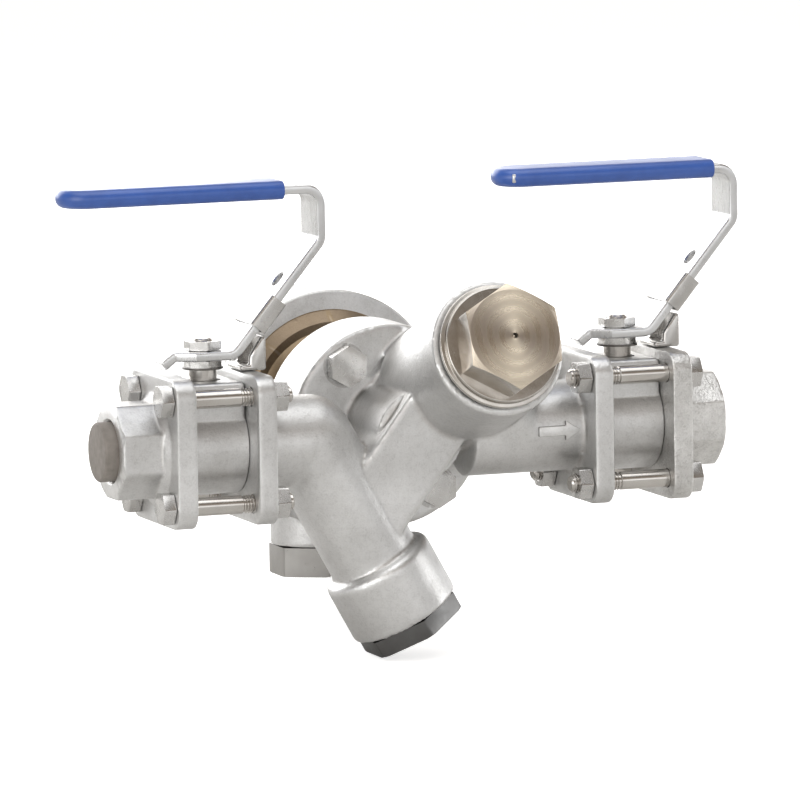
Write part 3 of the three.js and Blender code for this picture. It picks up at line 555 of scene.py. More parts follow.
def turned(points, radii=None, steps=ROUND_STEPS):
    """A solid turned about the upright axis from (radius, height) points, with rounded corners."""
    drawing = bmesh.new()
    line = round_corners(points, radii or [0] * len(points))
    verts = [drawing.verts.new((r * MM, 0, z * MM)) for r, z in line]
    if points[0][0] > 0:
        verts.append(verts[0])
    edges = [drawing.edges.new(pair) for pair in zip(verts, verts[1:])]
    bmesh.ops.spin(
        drawing, geom=list(dict.fromkeys(verts)) + edges, cent=(0, 0, 0), axis=(0, 0, 1),
        angle=2 * math.pi, steps=steps, use_merge=True, use_duplicate=False)
    bmesh.ops.remove_doubles(drawing, verts=drawing.verts, dist=1e-6)
    bmesh.ops.recalc_face_normals(drawing, faces=drawing.faces)
    return drawing


def rod(radius, low, high, steps=ROUND_STEPS):
    return turned([(0, low), (radius, low), (radius, high), (0, high)], steps=steps)


# %% Blocks, prisms and moves
def block(low, high):
    """A box between two corners."""
    drawing = bmesh.new()
    bmesh.ops.create_cube(drawing, size=1)
    low, high = Vector(low) * MM, Vector(high) * MM
    bmesh.ops.scale(drawing, verts=drawing.verts, vec=high - low)
    bmesh.ops.translate(drawing, verts=drawing.verts, vec=(low + high) / 2)
    return drawing


def prism(sides, flats, low, high):
    """An upright prism with a flat towards +X."""
    drawing = bmesh.new()
    corner = flats / 2 / math.cos(math.pi / sides) * MM
    bmesh.ops.create_circle(drawing, cap_ends=True, segments=sides, radius=corner)
    turn = Matrix.Rotation(math.pi / sides - math.pi / 2, 3, "Z")
    bmesh.ops.rotate(drawing, verts=drawing.verts, cent=(0, 0, 0), matrix=turn)
    grown = bmesh.ops.extrude_face_region(drawing, geom=drawing.faces[:])
    top = [g for g in grown["geom"] if isinstance(g, bmesh.types.BMVert)]
    bmesh.ops.translate(drawing, verts=top, vec=(0, 0, (high - low) * MM))
    bmesh.ops.translate(drawing, verts=drawing.verts, vec=(0, 0, low * MM))
    bmesh.ops.recalc_face_normals(drawing, faces=drawing.faces)
    return drawing


def runs_along(edge, axis):
    """Whether an edge's two ends differ along an axis, numbered 0 to 2."""
    return abs(edge.verts[0].co[axis] - edge.verts[1].co[axis]) > 1e-5


def bevel_edges(drawing, width, segments=3, sharper_than=30, keep=None):
    """Rounds the edges that turn by more than an angle and, where keep is given, that keep picks out."""
    edges = [
        e for e in drawing.edges
        if len(e.link_faces) == 2 and e.calc_face_angle(0) > math.radians(sharper_than)
        and (keep is None or keep(e))
    ]
    bmesh.ops.bevel(
        drawing, geom=edges, offset=width * MM, offset_type="OFFSET", segments=segments, profile=0.5,
        affect="EDGES", material=-1, clamp_overlap=True)
    return drawing


def moved(drawing, matrix):
    bmesh.ops.transform(drawing, matrix=matrix, verts=drawing.verts)
    return drawing


def place(x, y, z, turn_axis="Z", degrees=0.0):
    """A matrix that turns about one axis and then moves, in millimetres."""
    return Matrix.Translation(Vector((x, y, z)) * MM) @ Matrix.Rotation(math.radians(degrees), 4, turn_axis)


def pointing(way, x, y, z):
    """A matrix that lays the upright axis along a direction from a point."""
    turn = Vector((0, 0, 1)).rotation_difference(Vector(way)).to_matrix().to_4x4()
    return Matrix.Translation(Vector((x, y, z)) * MM) @ turn


# %% Making, cutting and finishing objects
def make(name, *drawings):
    """One object from one or more drawings, which are used up."""
    mesh = bpy.data.meshes.new(name)
    whole = bmesh.new()
    for drawing in drawings:
        part = bpy.data.meshes.new("part")
        drawing.to_mesh(part)
        drawing.free()
        whole.from_mesh(part)
        bpy.data.meshes.remove(part)
    whole.to_mesh(mesh)
    whole.free()
    return in_scene(name, mesh)


def discard(*pieces):
    for piece in pieces:
        spent = piece.data
        bpy.data.objects.remove(piece)
        bpy.data.meshes.remove(spent)


def settle(piece):
    """Replaces the piece's mesh by what its modifiers make of it."""
    view = bpy.context.evaluated_depsgraph_get()
    finished = bpy.data.meshes.new_from_object(piece.evaluated_get(view))
    piece.modifiers.clear()
    spent = piece.data
    piece.data = finished
    bpy.data.meshes.remove(spent)
    return piece


def carve(piece, tools, work="DIFFERENCE"):
    """Cuts drawings out of a piece, or keeps what it shares with them. A tuple is cut in one go."""
    cutters = [make("cutter", *(tool if isinstance(tool, tuple) else (tool,))) for tool in tools]
    for cutter in cutters:
        step = piece.modifiers.new("cut", "BOOLEAN")
        step.operation = work
        step.solver = "EXACT"
        step.object = cutter
    settle(piece)
    discard(*cutters)
    return piece


def fuse(name, drawings, voxel, smoothing):
    """Grows several overlapping drawings into one cast skin with soft fillets where they meet."""
    piece = make(name, *drawings)
    skin = piece.modifiers.new("skin", "REMESH")
    skin.mode = "VOXEL"
    skin.voxel_size = voxel * MM
    soften = piece.modifiers.new("soften", "SMOOTH")
    soften.factor = 0.5
    soften.iterations = smoothing
    return settle(piece)


def join(name, *pieces):
    """One object from several, which are used up. Each part keeps the finish it comes with."""
    whole = bmesh.new()
    mesh = bpy.data.meshes.new(name)
    for slot_number, (piece, material) in enumerate(pieces):
        before = len(whole.faces)
        whole.from_mesh(piece.data)
        whole.faces.ensure_lookup_table()
        for face in whole.faces[before:]:
            face.material_index = slot_number
        mesh.materials.append(material)
    whole.to_mesh(mesh)
    whole.free()
    discard(*(piece for piece, _ in pieces))
    return in_scene(name, mesh)


def finish(piece, material, body, node, sharp=32.0):
    """Smooths the shading up to an angle, gives a finish if it has none, ties the piece to its body
    and hides the frame's node."""
    piece.data.shade_smooth()
    piece.data.set_sharp_from_angle(angle=math.radians(sharp))
    if material:
        piece.data.materials.clear()
        piece.data.materials.append(material)
    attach(piece, body)
    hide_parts(node)


def copy_of(piece, name, matrix):
    """A second object with its own mesh, carried to another place."""
    mesh = piece.data.copy()
    mesh.transform(matrix)
    mesh.name = name
    return in_scene(name, mesh)


# %% [markdown]
# ## Hexagons and threads
# A nut or a bolt head is a hexagon with its corners turned off in a cone, which leaves the curved
# line that every nut has. So the prism is cut down to what it shares with a turned blank. A thread is
# one ridge of three sides, wound up the shank by a spin that also climbs.

# %% Hexagons
def hexagon(name, flats, low, high, chamfer_low=False, crown=0.93, edge=0.25):
    corner = flats / 2 / math.cos(math.pi / 6)
    turned_to = corner * crown
    fall = (corner - turned_to) * 0.58
    outer = corner + 0.2
    blank = [(0, low), (turned_to, low), (outer, low + fall)]
    if not chamfer_low:
        blank = [(0, low - 0.01), (outer, low - 0.01)]
    blank += [(outer, high - fall), (turned_to, high), (0, high)]
    piece = make(name, bevel_edges(prism(6, flats, low, high), edge, 2, 30, lambda e: runs_along(e, 2)))
    return carve(piece, [turned(blank)], "INTERSECT")


# %% Threads
def thread(radius, pitch, low, high, steps=28):
    """A thread ridge on a shank of this outside radius, between two heights."""
    drawing = bmesh.new()
    depth = 0.6 * pitch
    corners = [
        (radius - depth, 0), (radius, 0.42 * pitch), (radius, 0.5 * pitch), (radius - depth, 0.92 * pitch)]
    verts = [drawing.verts.new((r * MM, 0, (low + z) * MM)) for r, z in corners]
    ridge = drawing.faces.new(verts)
    turns = int((high - low) / pitch) - 1
    bmesh.ops.spin(
        drawing, geom=[ridge] + ridge.edges[:] + verts, cent=(0, 0, 0), axis=(0, 0, 1),
        dvec=(0, 0, pitch / steps * MM), angle=2 * math.pi * turns, steps=steps * turns,
        use_merge=False, use_duplicate=False)
    bmesh.ops.recalc_face_normals(drawing, faces=drawing.faces)
    return drawing


# %% [markdown]
# ## The two ball valves
# Each valve is a short cast body clamped between two square plates by four long bolts. One plate is
# the foot of the threaded end, the other belongs to the connector casting. Both valves are the same,
# and the inlet one is turned about, so each piece is made once at the middle of a valve and copied.

# %% Sizes of a valve
PLATE_SIDE = 65.0
PLATE_CORNER = 8.5
PLATE_THICK = 9.0
BODY_HALF = 13.85
BODY_RADIUS = 21.0
BALL_ROOM = 15.0
WATERWAY = 20.0
PAD_WIDTH = 34.0
PAD_TOP = 29.0
PORT_FLATS = 41.0
PORT_LENGTH = 20.7
PORT_BORE = 26.6
PORT_DEPTH = 16.0
TIE_OFFSET = 23.26
TIE_THREAD = 8.0
TIE_FLATS = 13.0
GAP = 0.3
LEVER_LEVEL = 40.0
VALVES = [("inlet", inlet_x, 180), ("outlet", outlet_x, 0)]


def in_both(piece, label, node, body, material, matrix=Matrix(), turned_about=False):
    """Copies a piece into both valves, turned end for end in the inlet one if asked, with its finish."""
    for name, x, about in VALVES:
        at = place(x, 0, 0, "Y", about if turned_about else 0) @ matrix
        skin = material[name] if isinstance(material, dict) else material
        finish(copy_of(piece, f"{name}_{label}", at), skin, body.format(name), f"{name}_{node}")


# %% [markdown]
# ### Clamp plates
# The plates are cast with soft edges and rounded corners, and drilled for the bolts. Two of them are
# part of the ends and two part of the connector, so a helper draws one and another its four holes.

# %% Clamp plate and its holes
CORNERS = [(1, -1), (1, 1), (-1, 1), (-1, -1)]


def clamp_plate(low=0.0, high=PLATE_THICK):
    half = PLATE_SIDE / 2
    plate = block((-half, -half, low), (half, half, high))
    return bevel_edges(plate, PLATE_CORNER, 8, 30, lambda e: runs_along(e, 2))


def tie_holes(low=-1.0, high=PLATE_THICK + 1):
    return tuple(
        moved(rod(TIE_THREAD / 2 + GAP, low, high, 40), place(u * TIE_OFFSET, v * TIE_OFFSET, 0))
        for u, v in CORNERS)


# %% [markdown]
# ### Threaded ends
# The end is one casting: the plate, a turned foot and an octagon to hold with a wrench. Growing the
# three into one skin gives the cast fillet at the foot. The mouth is then turned to a cone and bored
# to the thread's core, which leaves crisp machined edges on the soft casting.

# %% Threaded end
port_mouth = PLATE_THICK + PORT_LENGTH
port_corner = PORT_FLATS / 2 / math.cos(math.pi / 8)
threaded_end = fuse(
    "threaded_end",
    [
        clamp_plate(),
        bevel_edges(prism(8, PORT_FLATS, 1, port_mouth), 0.8, 3, 30),
        turned([(0, 1), (port_corner + 2.4, 1), (port_corner + 2.4, PLATE_THICK),
                (port_corner - 0.6, PLATE_THICK + 2.6), (0, PLATE_THICK + 2.6)]),
    ],
    0.62, 3)
mouth_blank = turned([
    (0, -1), (PLATE_SIDE, -1), (PLATE_SIDE, PLATE_THICK + 4), (port_corner + 3, PLATE_THICK + 4),
    (port_corner + 0.6, port_mouth - 1.8), (PORT_FLATS / 2 - 0.4, port_mouth - 0.15), (0, port_mouth - 0.15),
])
carve(threaded_end, [mouth_blank], "INTERSECT")
port_bore = turned([
    (0, -2), (WATERWAY / 2, -2), (WATERWAY / 2, port_mouth - PORT_DEPTH - 2),
    (PORT_BORE / 2, port_mouth - PORT_DEPTH), (PORT_BORE / 2, port_mouth - 1.4),
    (PORT_BORE / 2 + 1.3, port_mouth), (PORT_BORE / 2 + 1.3, port_mouth + 1), (0, port_mouth + 1),
])
carve(threaded_end, [port_bore, tie_holes()])
in_both(
    threaded_end, "end_casting", "end_cap", "station", {"inlet": blasted_cast, "outlet": coarse_cast},
    place(BODY_HALF, 0, 0, "Y", 90), True)
print("threaded end:", len(threaded_end.data.polygons), "faces")
discard(threaded_end)

# %% [markdown]
# ### Valve bodies
# The body is a short barrel with a square neck for the stem. It is grown into one skin as well, so
# the neck flows into the barrel, and then bored across and down.

# %% Valve body
body_end = BODY_HALF - 0.08
barrel = moved(turned([(0, -body_end), (BODY_RADIUS, -body_end), (BODY_RADIUS, body_end), (0, body_end)],
                      [0, 0.3, 0.3, 0]), place(0, 0, 0, "Y", 90))
neck = bevel_edges(block((-body_end, -PAD_WIDTH / 2, 0), (body_end, PAD_WIDTH / 2, PAD_TOP)), 2.2, 4)
valve_casting = fuse("valve_casting", [barrel, neck], 0.5, 4)
ball_room = moved(rod(BALL_ROOM, -body_end - 1, body_end + 1), place(0, 0, 0, "Y", 90))
stem_bore = turned([(0, 5), (6.5, 5), (6.5, 17.9), (4.8, 17.9), (4.8, 21.8), (7.7, 21.8), (7.7, PAD_TOP + 2),
                    (0, PAD_TOP + 2)])
carve(valve_casting, [ball_room, stem_bore])
in_both(valve_casting, "body_casting", "valve_body", "station", blasted_cast)
print("valve casting:", len(valve_casting.data.polygons), "faces")
discard(valve_casting)

# %% [markdown]
# ### Tie bolts
# Eight long bolts hold the plates. Each is a hexagon head on a smooth polished shank, with a thread
# for its last third. The nut at the far end is chamfered on both faces, and a few turns of thread
# stand out of it.

# %% Tie bolts and nuts
TIE_HEAD = 5.3
TIE_NUT = 6.0
TIE_THREADED = 23.0
tie_shank = 2 * (BODY_HALF + PLATE_THICK) + TIE_NUT + 3 * GAP + 2.6
tie_head = hexagon("tie_head", TIE_FLATS, 0, TIE_HEAD)
shank_core = turned(
    [(0, -tie_shank), (3.0, -tie_shank), (3.5, -tie_shank + 0.6), (3.45, -tie_shank + TIE_THREADED),
     (TIE_THREAD / 2, -tie_shank + TIE_THREADED + 0.5), (TIE_THREAD / 2, 0.3), (0, 0.3)], steps=48)
tie_thread = thread(TIE_THREAD / 2, 1.25, -tie_shank + 0.4, -tie_shank + TIE_THREADED + 0.5)
tie_shank_piece = make("tie_shank", shank_core, tie_thread)
tie_nut = hexagon("tie_nut", TIE_FLATS, 0, TIE_NUT, True)
carve(tie_nut, [turned([(0, -1), (5.2, -1), (4.05, 0.6), (4.05, TIE_NUT - 0.6), (5.2, TIE_NUT + 1),
                        (0, TIE_NUT + 1)], steps=48)])
tie_bolt = join("tie_bolt", (tie_head, bright_bolt), (tie_shank_piece, tie_rod_steel))
face_out = BODY_HALF + PLATE_THICK + GAP
for number, (u, v) in enumerate(CORNERS, 1):
    head_end = place(face_out, v * TIE_OFFSET, u * TIE_OFFSET, "Y", 90)
    nut_end = place(-face_out, v * TIE_OFFSET, u * TIE_OFFSET, "Y", -90)
    in_both(tie_bolt, f"long_bolt_{number}", f"tie_bolt_{number}", "station", None,
            head_end, True)
    in_both(tie_nut, f"long_bolt_nut_{number}", f"tie_nut_{number}", "station", bright_bolt,
            nut_end, True)
discard(tie_nut, tie_bolt)

# %% [markdown]
# ### Stem, gland and lever nut
# The stem carries the lever on two flats. Below the lever a gland nut, with a thin dark washer under
# it, presses the packing down. Above the lever a thin nut holds it on the stem's thread.

# %% Stem and nuts
GLAND_TOP = 33.9
WASHER = 0.8
HEX_FLATS = 14.6
LEVER_THICK = 4.0
nut_low = LEVER_LEVEL + LEVER_THICK / 2 + GAP
nut_high = nut_low + 3.8
stem_top = nut_high + 1.2
spindle = turned([(0, 15), (6.2, 15), (6.2, 17.6), (4.5, 17.6), (4.5, LEVER_LEVEL - 2), (3.9, LEVER_LEVEL - 2),
                  (3.9, stem_top - 0.5), (3.4, stem_top), (0, stem_top)], steps=48)
stem_piece = make("stem", spindle, thread(4.5, 1.0, nut_low - 0.5, stem_top),
                  block((-6, -2.6, 12), (6, 2.6, 15.5)))
follower = turned([(4.8, 27), (6, 27), (6, GLAND_TOP), (4.8, GLAND_TOP)], steps=48)
washer = turned([(4.8, GLAND_TOP), (9, GLAND_TOP), (9, GLAND_TOP + WASHER), (4.8, GLAND_TOP + WASHER)],
                [0, 0.2, 0.2, 0])
gland_hex = hexagon("gland_hex", HEX_FLATS, GLAND_TOP + WASHER, GLAND_TOP + WASHER + 3.0)
carve(gland_hex, [rod(4.8, 20, 60, 40)])
gland = join(
    "gland", (gland_hex, bright_bolt), (make("gland_follower", follower), tie_rod_steel),
    (make("gland_washer", washer), dark_washer_and_hole_shade))
lever_hex = hexagon("lever_hex", HEX_FLATS, nut_low, nut_high, True)
carve(lever_hex, [rod(4.6, 20, 60, 40)])
in_both(stem_piece, "spindle", "stem", "{}_lever_set", tie_rod_steel)
in_both(gland, "gland", "gland_nut", "{}_lever_set", None)
in_both(lever_hex, "top_nut", "lever_nut", "{}_lever_set", bright_bolt)
discard(stem_piece, gland, lever_hex)

# %% [markdown]
# ### Lever bar
# The lever is one strip of stainless sheet: a flat on the stem, a slope up, a short upright and a
# long bar back over the valve inside the grip. Its tail is narrower and ends in a tab bent down,
# which stops the lever at each end of its turn. A strip is easiest as a line swept sideways into a
# sheet that is then given its thickness and rounded edges.

# %% Folded strips
def folded_strip(name, points, radii, width, thick, edge, shape):
    drawing = bmesh.new()
    line = round_corners(points, radii, 8)
    verts = [drawing.verts.new((x * MM, -width / 2 * MM, z * MM)) for x, z in line]
    edges = [drawing.edges.new(pair) for pair in zip(verts, verts[1:])]
    swept = bmesh.ops.extrude_edge_only(drawing, edges=edges)
    far = [g for g in swept["geom"] if isinstance(g, bmesh.types.BMVert)]
    bmesh.ops.translate(drawing, verts=far, vec=(0, width * MM, 0))
    for vert in drawing.verts:
        vert.co.y *= shape(vert.co.x / MM, vert.co.z / MM)
    strip = make(name, drawing)
    wall = strip.modifiers.new("wall", "SOLIDIFY")
    wall.thickness = thick * MM
    wall.offset = 0
    wall.use_even_offset = True
    rounding = strip.modifiers.new("rounding", "BEVEL")
    rounding.width = edge * MM
    rounding.segments = 3
    rounding.limit_method = "ANGLE"
    rounding.angle_limit = math.radians(50)
    return settle(strip)


# %% Lever bar
LEVER_WIDTH = 22.0
SLOPE = math.radians(50)
BEND_AT = 11.5
REACH = 51.8
RISE = 70.6
BAR_END = -52.0
TAIL = 14.3
TAIL_FROM = 6.5
tail_tab = Vector((-math.cos(math.radians(38)), -math.sin(math.radians(38)))) * 6.4
lever_line = [
    (-TAIL + tail_tab.x, tail_tab.y), (-TAIL, 0), (-TAIL_FROM, 0), (-2, 0), (BEND_AT, 0),
    (REACH, (REACH - BEND_AT) * math.tan(SLOPE)), (REACH, RISE), (BAR_END, RISE),
]
lever_line = [(x, z + LEVER_LEVEL) for x, z in lever_line]


def tail_width(x, z):
    if z > LEVER_LEVEL + 1 or x > -TAIL_FROM:
        return 1.0
    return 1.0 - 0.5 * min(1.0, (-TAIL_FROM - x) / (TAIL - TAIL_FROM))


lever_bar = folded_strip(
    "lever_bar", lever_line, [0, 3, 0, 0, 7, 7, 7, 0], LEVER_WIDTH, LEVER_THICK, 0.8, tail_width)


def on_slope(along):
    """The matrix of a point on the middle of the lever's slope, with +X up the slope."""
    x = BEND_AT + along * math.cos(SLOPE)
    z = LEVER_LEVEL + along * math.sin(SLOPE)
    return place(x, 0, z, "Y", -math.degrees(SLOPE))


PADLOCK_AT = 38.8
padlock_hole = moved(turned(
    [(0, -4), (4.2, -4), (4.2, -2.2), (3.2, -1.4), (3.2, 1.4), (4.2, 2.2), (4.2, 4), (0, 4)], steps=48),
    on_slope(PADLOCK_AT))
carve(lever_bar, [padlock_hole, rod(4.8, LEVER_LEVEL - 4, LEVER_LEVEL + 4, 40)])

# %% [markdown]
# ### Grip
# The grip is a sleeve of dipped vinyl, flat with full round edges and a round tip. It starts as a
# puck turned with a round rim. Half of the puck is cut away, its open section is drawn out along the
# bar, and the mouth is filled and its sharp edges rounded.

# %% Grip
GRIP_WIDTH = 25.0
GRIP_THICK = 8.2
GRIP_LENGTH = 100.0
GRIP_TIPS = {"inlet": 65.0, "outlet": 57.5}


def grip(name, x, tip):
    round_end = GRIP_WIDTH / 2
    half_thick = GRIP_THICK / 2
    drawing = turned(
        [(0, -half_thick), (round_end, -half_thick), (round_end, half_thick), (0, half_thick)],
        [0, half_thick - 0.25, half_thick - 0.25, 0], 72)
    bmesh.ops.bisect_plane(
        drawing, geom=drawing.verts[:] + drawing.edges[:] + drawing.faces[:], dist=1e-6,
        plane_co=(0, 0, 0), plane_no=(1, 0, 0), clear_outer=True)
    section = [e for e in drawing.edges if e.is_boundary]
    drawn_out = bmesh.ops.extrude_edge_only(drawing, edges=section)
    mouth = [g for g in drawn_out["geom"] if isinstance(g, bmesh.types.BMVert)]
    bmesh.ops.translate(drawing, verts=mouth, vec=((GRIP_LENGTH - round_end) * MM, 0, 0))
    bmesh.ops.holes_fill(drawing, edges=[e for e in drawing.edges if e.is_boundary])
    bmesh.ops.recalc_face_normals(drawing, faces=drawing.faces)
    bevel_edges(drawing, 0.7, 3, 60)
    moved(drawing, place(round_end - tip, 0, LEVER_LEVEL + RISE))
    return make(name + "_handle_grip", moved(drawing, place(x, 0, 0)))


# %% [markdown]
# ### Lock sleeve and lock bracket
# A folded sheet sleeve slides along the slope of the lever. Down, it drops over a folded bracket on
# the clamp plate, and a padlock through the lever keeps it there. Both are thin sheet, so both show
# bend radii outside and sheet edges at their ends.

# %% Lock sleeve
SLEEVE_AT = 15.0
SLEEVE_LENGTH = 15.5
SLEEVE_WALL = 1.2
SLEEVE_UNDER, SLEEVE_OVER = -4.6, 3.5
sleeve_half = LEVER_WIDTH / 2 + GAP + 1.3


def sleeve_form(start, end, wall, radius, segments):
    form = block((start, wall - sleeve_half, wall + SLEEVE_UNDER), (end, sleeve_half - wall, SLEEVE_OVER - wall))
    return bevel_edges(form, radius, segments, 30, lambda e: runs_along(e, 0))


lock_sleeve = make("lock_sleeve", sleeve_form(0, SLEEVE_LENGTH, 0, 1.6, 5))
carve(lock_sleeve, [sleeve_form(-2, SLEEVE_LENGTH + 2, SLEEVE_WALL, 0.7, 3)])
lock_sleeve.data.transform(on_slope(SLEEVE_AT))


# %% Lock bracket
def standing(points, width):
    """A drawing in X and height, made as wide as asked across the middle plane."""
    drawing = bmesh.new()
    face = drawing.faces.new([drawing.verts.new((x * MM, -width / 2 * MM, z * MM)) for x, z in points])
    grown = bmesh.ops.extrude_face_region(drawing, geom=[face])
    far = [g for g in grown["geom"] if isinstance(g, bmesh.types.BMVert)]
    bmesh.ops.translate(drawing, verts=far, vec=(0, width * MM, 0))
    bmesh.ops.recalc_face_normals(drawing, faces=drawing.faces)
    return drawing


SHEET = 2.5
BRACKET_WIDTH = 19.0
bracket_side = [(14.2, 0), (26, 0), (26, 14.6), (24, 14.6), (18.5, 6.2), (18.5, SHEET), (14.2, SHEET)]
lock_bracket = make("lock_bracket", bevel_edges(standing(bracket_side, BRACKET_WIDTH), 1.2, 4, 80))
bracket_inside = BRACKET_WIDTH / 2 - SHEET
carve(lock_bracket, [block((10, -bracket_inside, SHEET), (26 - SHEET, bracket_inside, 20))])

# %% Levers, grips and locks in place
in_both(lever_bar, "handle_bar", "lever", "{}_lever_set", rolled_sheet)
in_both(lock_sleeve, "locking_sleeve", "lock_sleeve", "{}_lock", folded_sheet)
in_both(lock_bracket, "locking_bracket", "lock_bracket", "station", folded_sheet,
        place(0, 0, PLATE_SIDE / 2 + GAP))
discard(lever_bar, lock_sleeve, lock_bracket)
for name, x, _ in VALVES:
    finish(grip(name, x, GRIP_TIPS[name]), blue_vinyl, name + "_lever_set", name + "_grip", 60)

# %% Port plug
PLUG_HEAD = 5.4
plug = moved(
    turned([(0, -12), (13, -12), (13, PLUG_HEAD), (0, PLUG_HEAD)], [0, 0.5, 1.2, 0]), place(0, 0, 0, "Y", -90))
finish(make("thread_plug", plug), plug_plastic, "station", "inlet_port_plug")

# %% [markdown]
# ## The connector casting
# One casting joins everything: a plate and a pipe in, an elbow down into the strainer leg, a round
# flange behind, a flat band up to the tilted check chamber, and a pipe out to the other plate. It is
# drawn as plain overlapping solids and grown into one skin, which rounds each crease as a foundry
# pattern does. The passages are one tool, grown the same way and cut out in one go. Machined faces
# are cut last, so their edges stay crisp.

# %% Directions in the casting
PIPE = 20.0
ELBOW = -48.9
FLANGE_FRONT = 30.0
FLANGE_BACK = 49.0
FLANGE_RADIUS = 44.8
LEG_FALL = math.radians(61)
CHECK_TILT = math.radians(20)
CHECK_RISE = 33.0
leg_way = Vector((math.cos(LEG_FALL), 0, -math.sin(LEG_FALL)))
leg_start = Vector((ELBOW, 0, 0))
check_way = Vector((0, -math.cos(CHECK_TILT), math.sin(CHECK_TILT)))
check_start = Vector((22.5, -17, 30))


def between(radius, start, end, steps=ROUND_STEPS):
    """A round bar between two points."""
    way = Vector(end) - Vector(start)
    return moved(rod(radius, 0, way.length, steps), pointing(way, *start))


def along_leg(drawing):
    return moved(drawing, pointing(leg_way, *leg_start))


def along_check(at):
    return check_start + check_way * at


def backward(drawing, x=0.0, z=0.0):
    """Lays an upright drawing along +Y."""
    return moved(drawing, place(x, 0, z, "X", -90))


# %% Solids of the casting
LEG_END = 90.2
band_start = Vector((-29.8, 0, -38.7))
band_way = Vector((check_start.x, 0, check_start.z)) - band_start
band = bevel_edges(block((0, -17, -16.5), (band_way.length, 31, 16.5)), 1.5, 3)
band_turn = -math.degrees(math.atan2(band_way.z, band_way.x))
moved(band, place(band_start.x, 0, band_start.z, "Y", band_turn))
inlet_plate = moved(clamp_plate(), place(-half_run, 0, 0, "Y", 90))
outlet_plate = moved(clamp_plate(), place(half_run, 0, 0, "Y", -90))
elbow = bmesh.new()
bmesh.ops.create_uvsphere(elbow, u_segments=64, v_segments=32, radius=PIPE * MM)
bmesh.ops.translate(elbow, verts=elbow.verts, vec=leg_start * MM)
leg_pipe = along_leg(turned(
    [(0, 0), (PIPE, 0), (PIPE, 61.6), (24.8, 62.4), (24.8, LEG_END), (0, LEG_END)], [0, 0, 0.8, 3.8, 0.9, 0]))
flange = backward(turned(
    [(0, FLANGE_FRONT), (FLANGE_RADIUS, FLANGE_FRONT), (FLANGE_RADIUS, FLANGE_BACK + 2), (0, FLANGE_BACK + 2)],
    [0, 1.6, 0, 0]))
chamber_end = along_check(-42)
chamber = moved(turned([(0, 0), (30, 0), (30, CHECK_RISE + 42), (0, CHECK_RISE + 42)], [0, 0, 1.2, 0]),
                pointing(check_way, *chamber_end))
casting = fuse(
    "connector_casting",
    [
        inlet_plate, outlet_plate, elbow, leg_pipe, flange, band, chamber,
        between(PIPE, (-half_run + 1, 0, 0), (ELBOW, 0, 0)),
        between(PIPE, (check_start.x, 0, 0), (half_run - 1, 0, 0)),
        between(PIPE, (check_start.x, -6, 18), (check_start.x + 24, 0, 0)),
        backward(rod(PIPE, -10, FLANGE_FRONT + 1)),
    ],
    1.1, 3)
print("grown casting:", len(casting.data.polygons), "faces")

# %% Passages and machined faces
HOLE_RADIUS = 5.3
SPOT_RADIUS = 9.84
BOLT_CIRCLE = 34.6
BOLT_TURN = math.radians(180 - 53.7)
bolt_places = [
    (BOLT_CIRCLE * math.cos(BOLT_TURN + turn), BOLT_CIRCLE * math.sin(BOLT_TURN + turn)) for turn in (0, math.pi)]
passages = fuse(
    "passages",
    [
        between(WATERWAY / 2, (-half_run - 2, 0, 0), (ELBOW, 0, 0)),
        between(WATERWAY / 2, (ELBOW, 0, 0), leg_start + leg_way * 17),
        along_leg(rod(13.5, 16, LEG_END + 3)),
        between(6, leg_start + leg_way * 44, (-14, 45, -15.5)),
        backward(rod(6, 2, FLANGE_BACK + 2)),
        between(6, (0, 3, 0), along_check(-13)),
        between(8, along_check(-16), along_check(4)),
        between(22, along_check(3), along_check(CHECK_RISE + 3)),
        between(7, (check_start.x + 9, -20, 22), (check_start.x + 26, 0, 0)),
        between(WATERWAY / 2, (check_start.x + 24, 0, 0), (half_run + 2, 0, 0)),
    ],
    0.8, 2)
passage_tool = bmesh.new()
passage_tool.from_mesh(passages.data)
discard(passages)
back_stop = block((-half_run, FLANGE_BACK, -half_run), (half_run, FLANGE_BACK + 40, half_run))
counterbores = tuple(
    backward(turned([(0, FLANGE_FRONT - 12), (SPOT_RADIUS, FLANGE_FRONT - 12), (SPOT_RADIUS, FLANGE_FRONT + 0.2),
                     (HOLE_RADIUS, FLANGE_FRONT + 0.2), (HOLE_RADIUS, FLANGE_BACK + 3), (0, FLANGE_BACK + 3)]), x, z)
    for x, z in bolt_places)
groove = backward(turned([(18, 41), (25, 41), (25, FLANGE_BACK + 3), (18, FLANGE_BACK + 3)]))
inlet_holes = tuple(moved(hole, place(-half_run, 0, 0, "Y", 90)) for hole in tie_holes())
outlet_holes = tuple(moved(hole, place(half_run, 0, 0, "Y", -90)) for hole in tie_holes())
gasket_seat = along_leg(rod(21.4, 89, LEG_END + 4))
carve(casting, [
    back_stop, passage_tool, counterbores + (groove,) + inlet_holes + outlet_holes + (gasket_seat,)])
print("machined casting:", len(casting.data.polygons), "faces")

# %% [markdown]
# ### Flow arrow
# A raised arrow on the outlet pipe shows which way the water goes. It is a flat arrow with a fine
# mesh that is wrapped onto the pipe's radius.

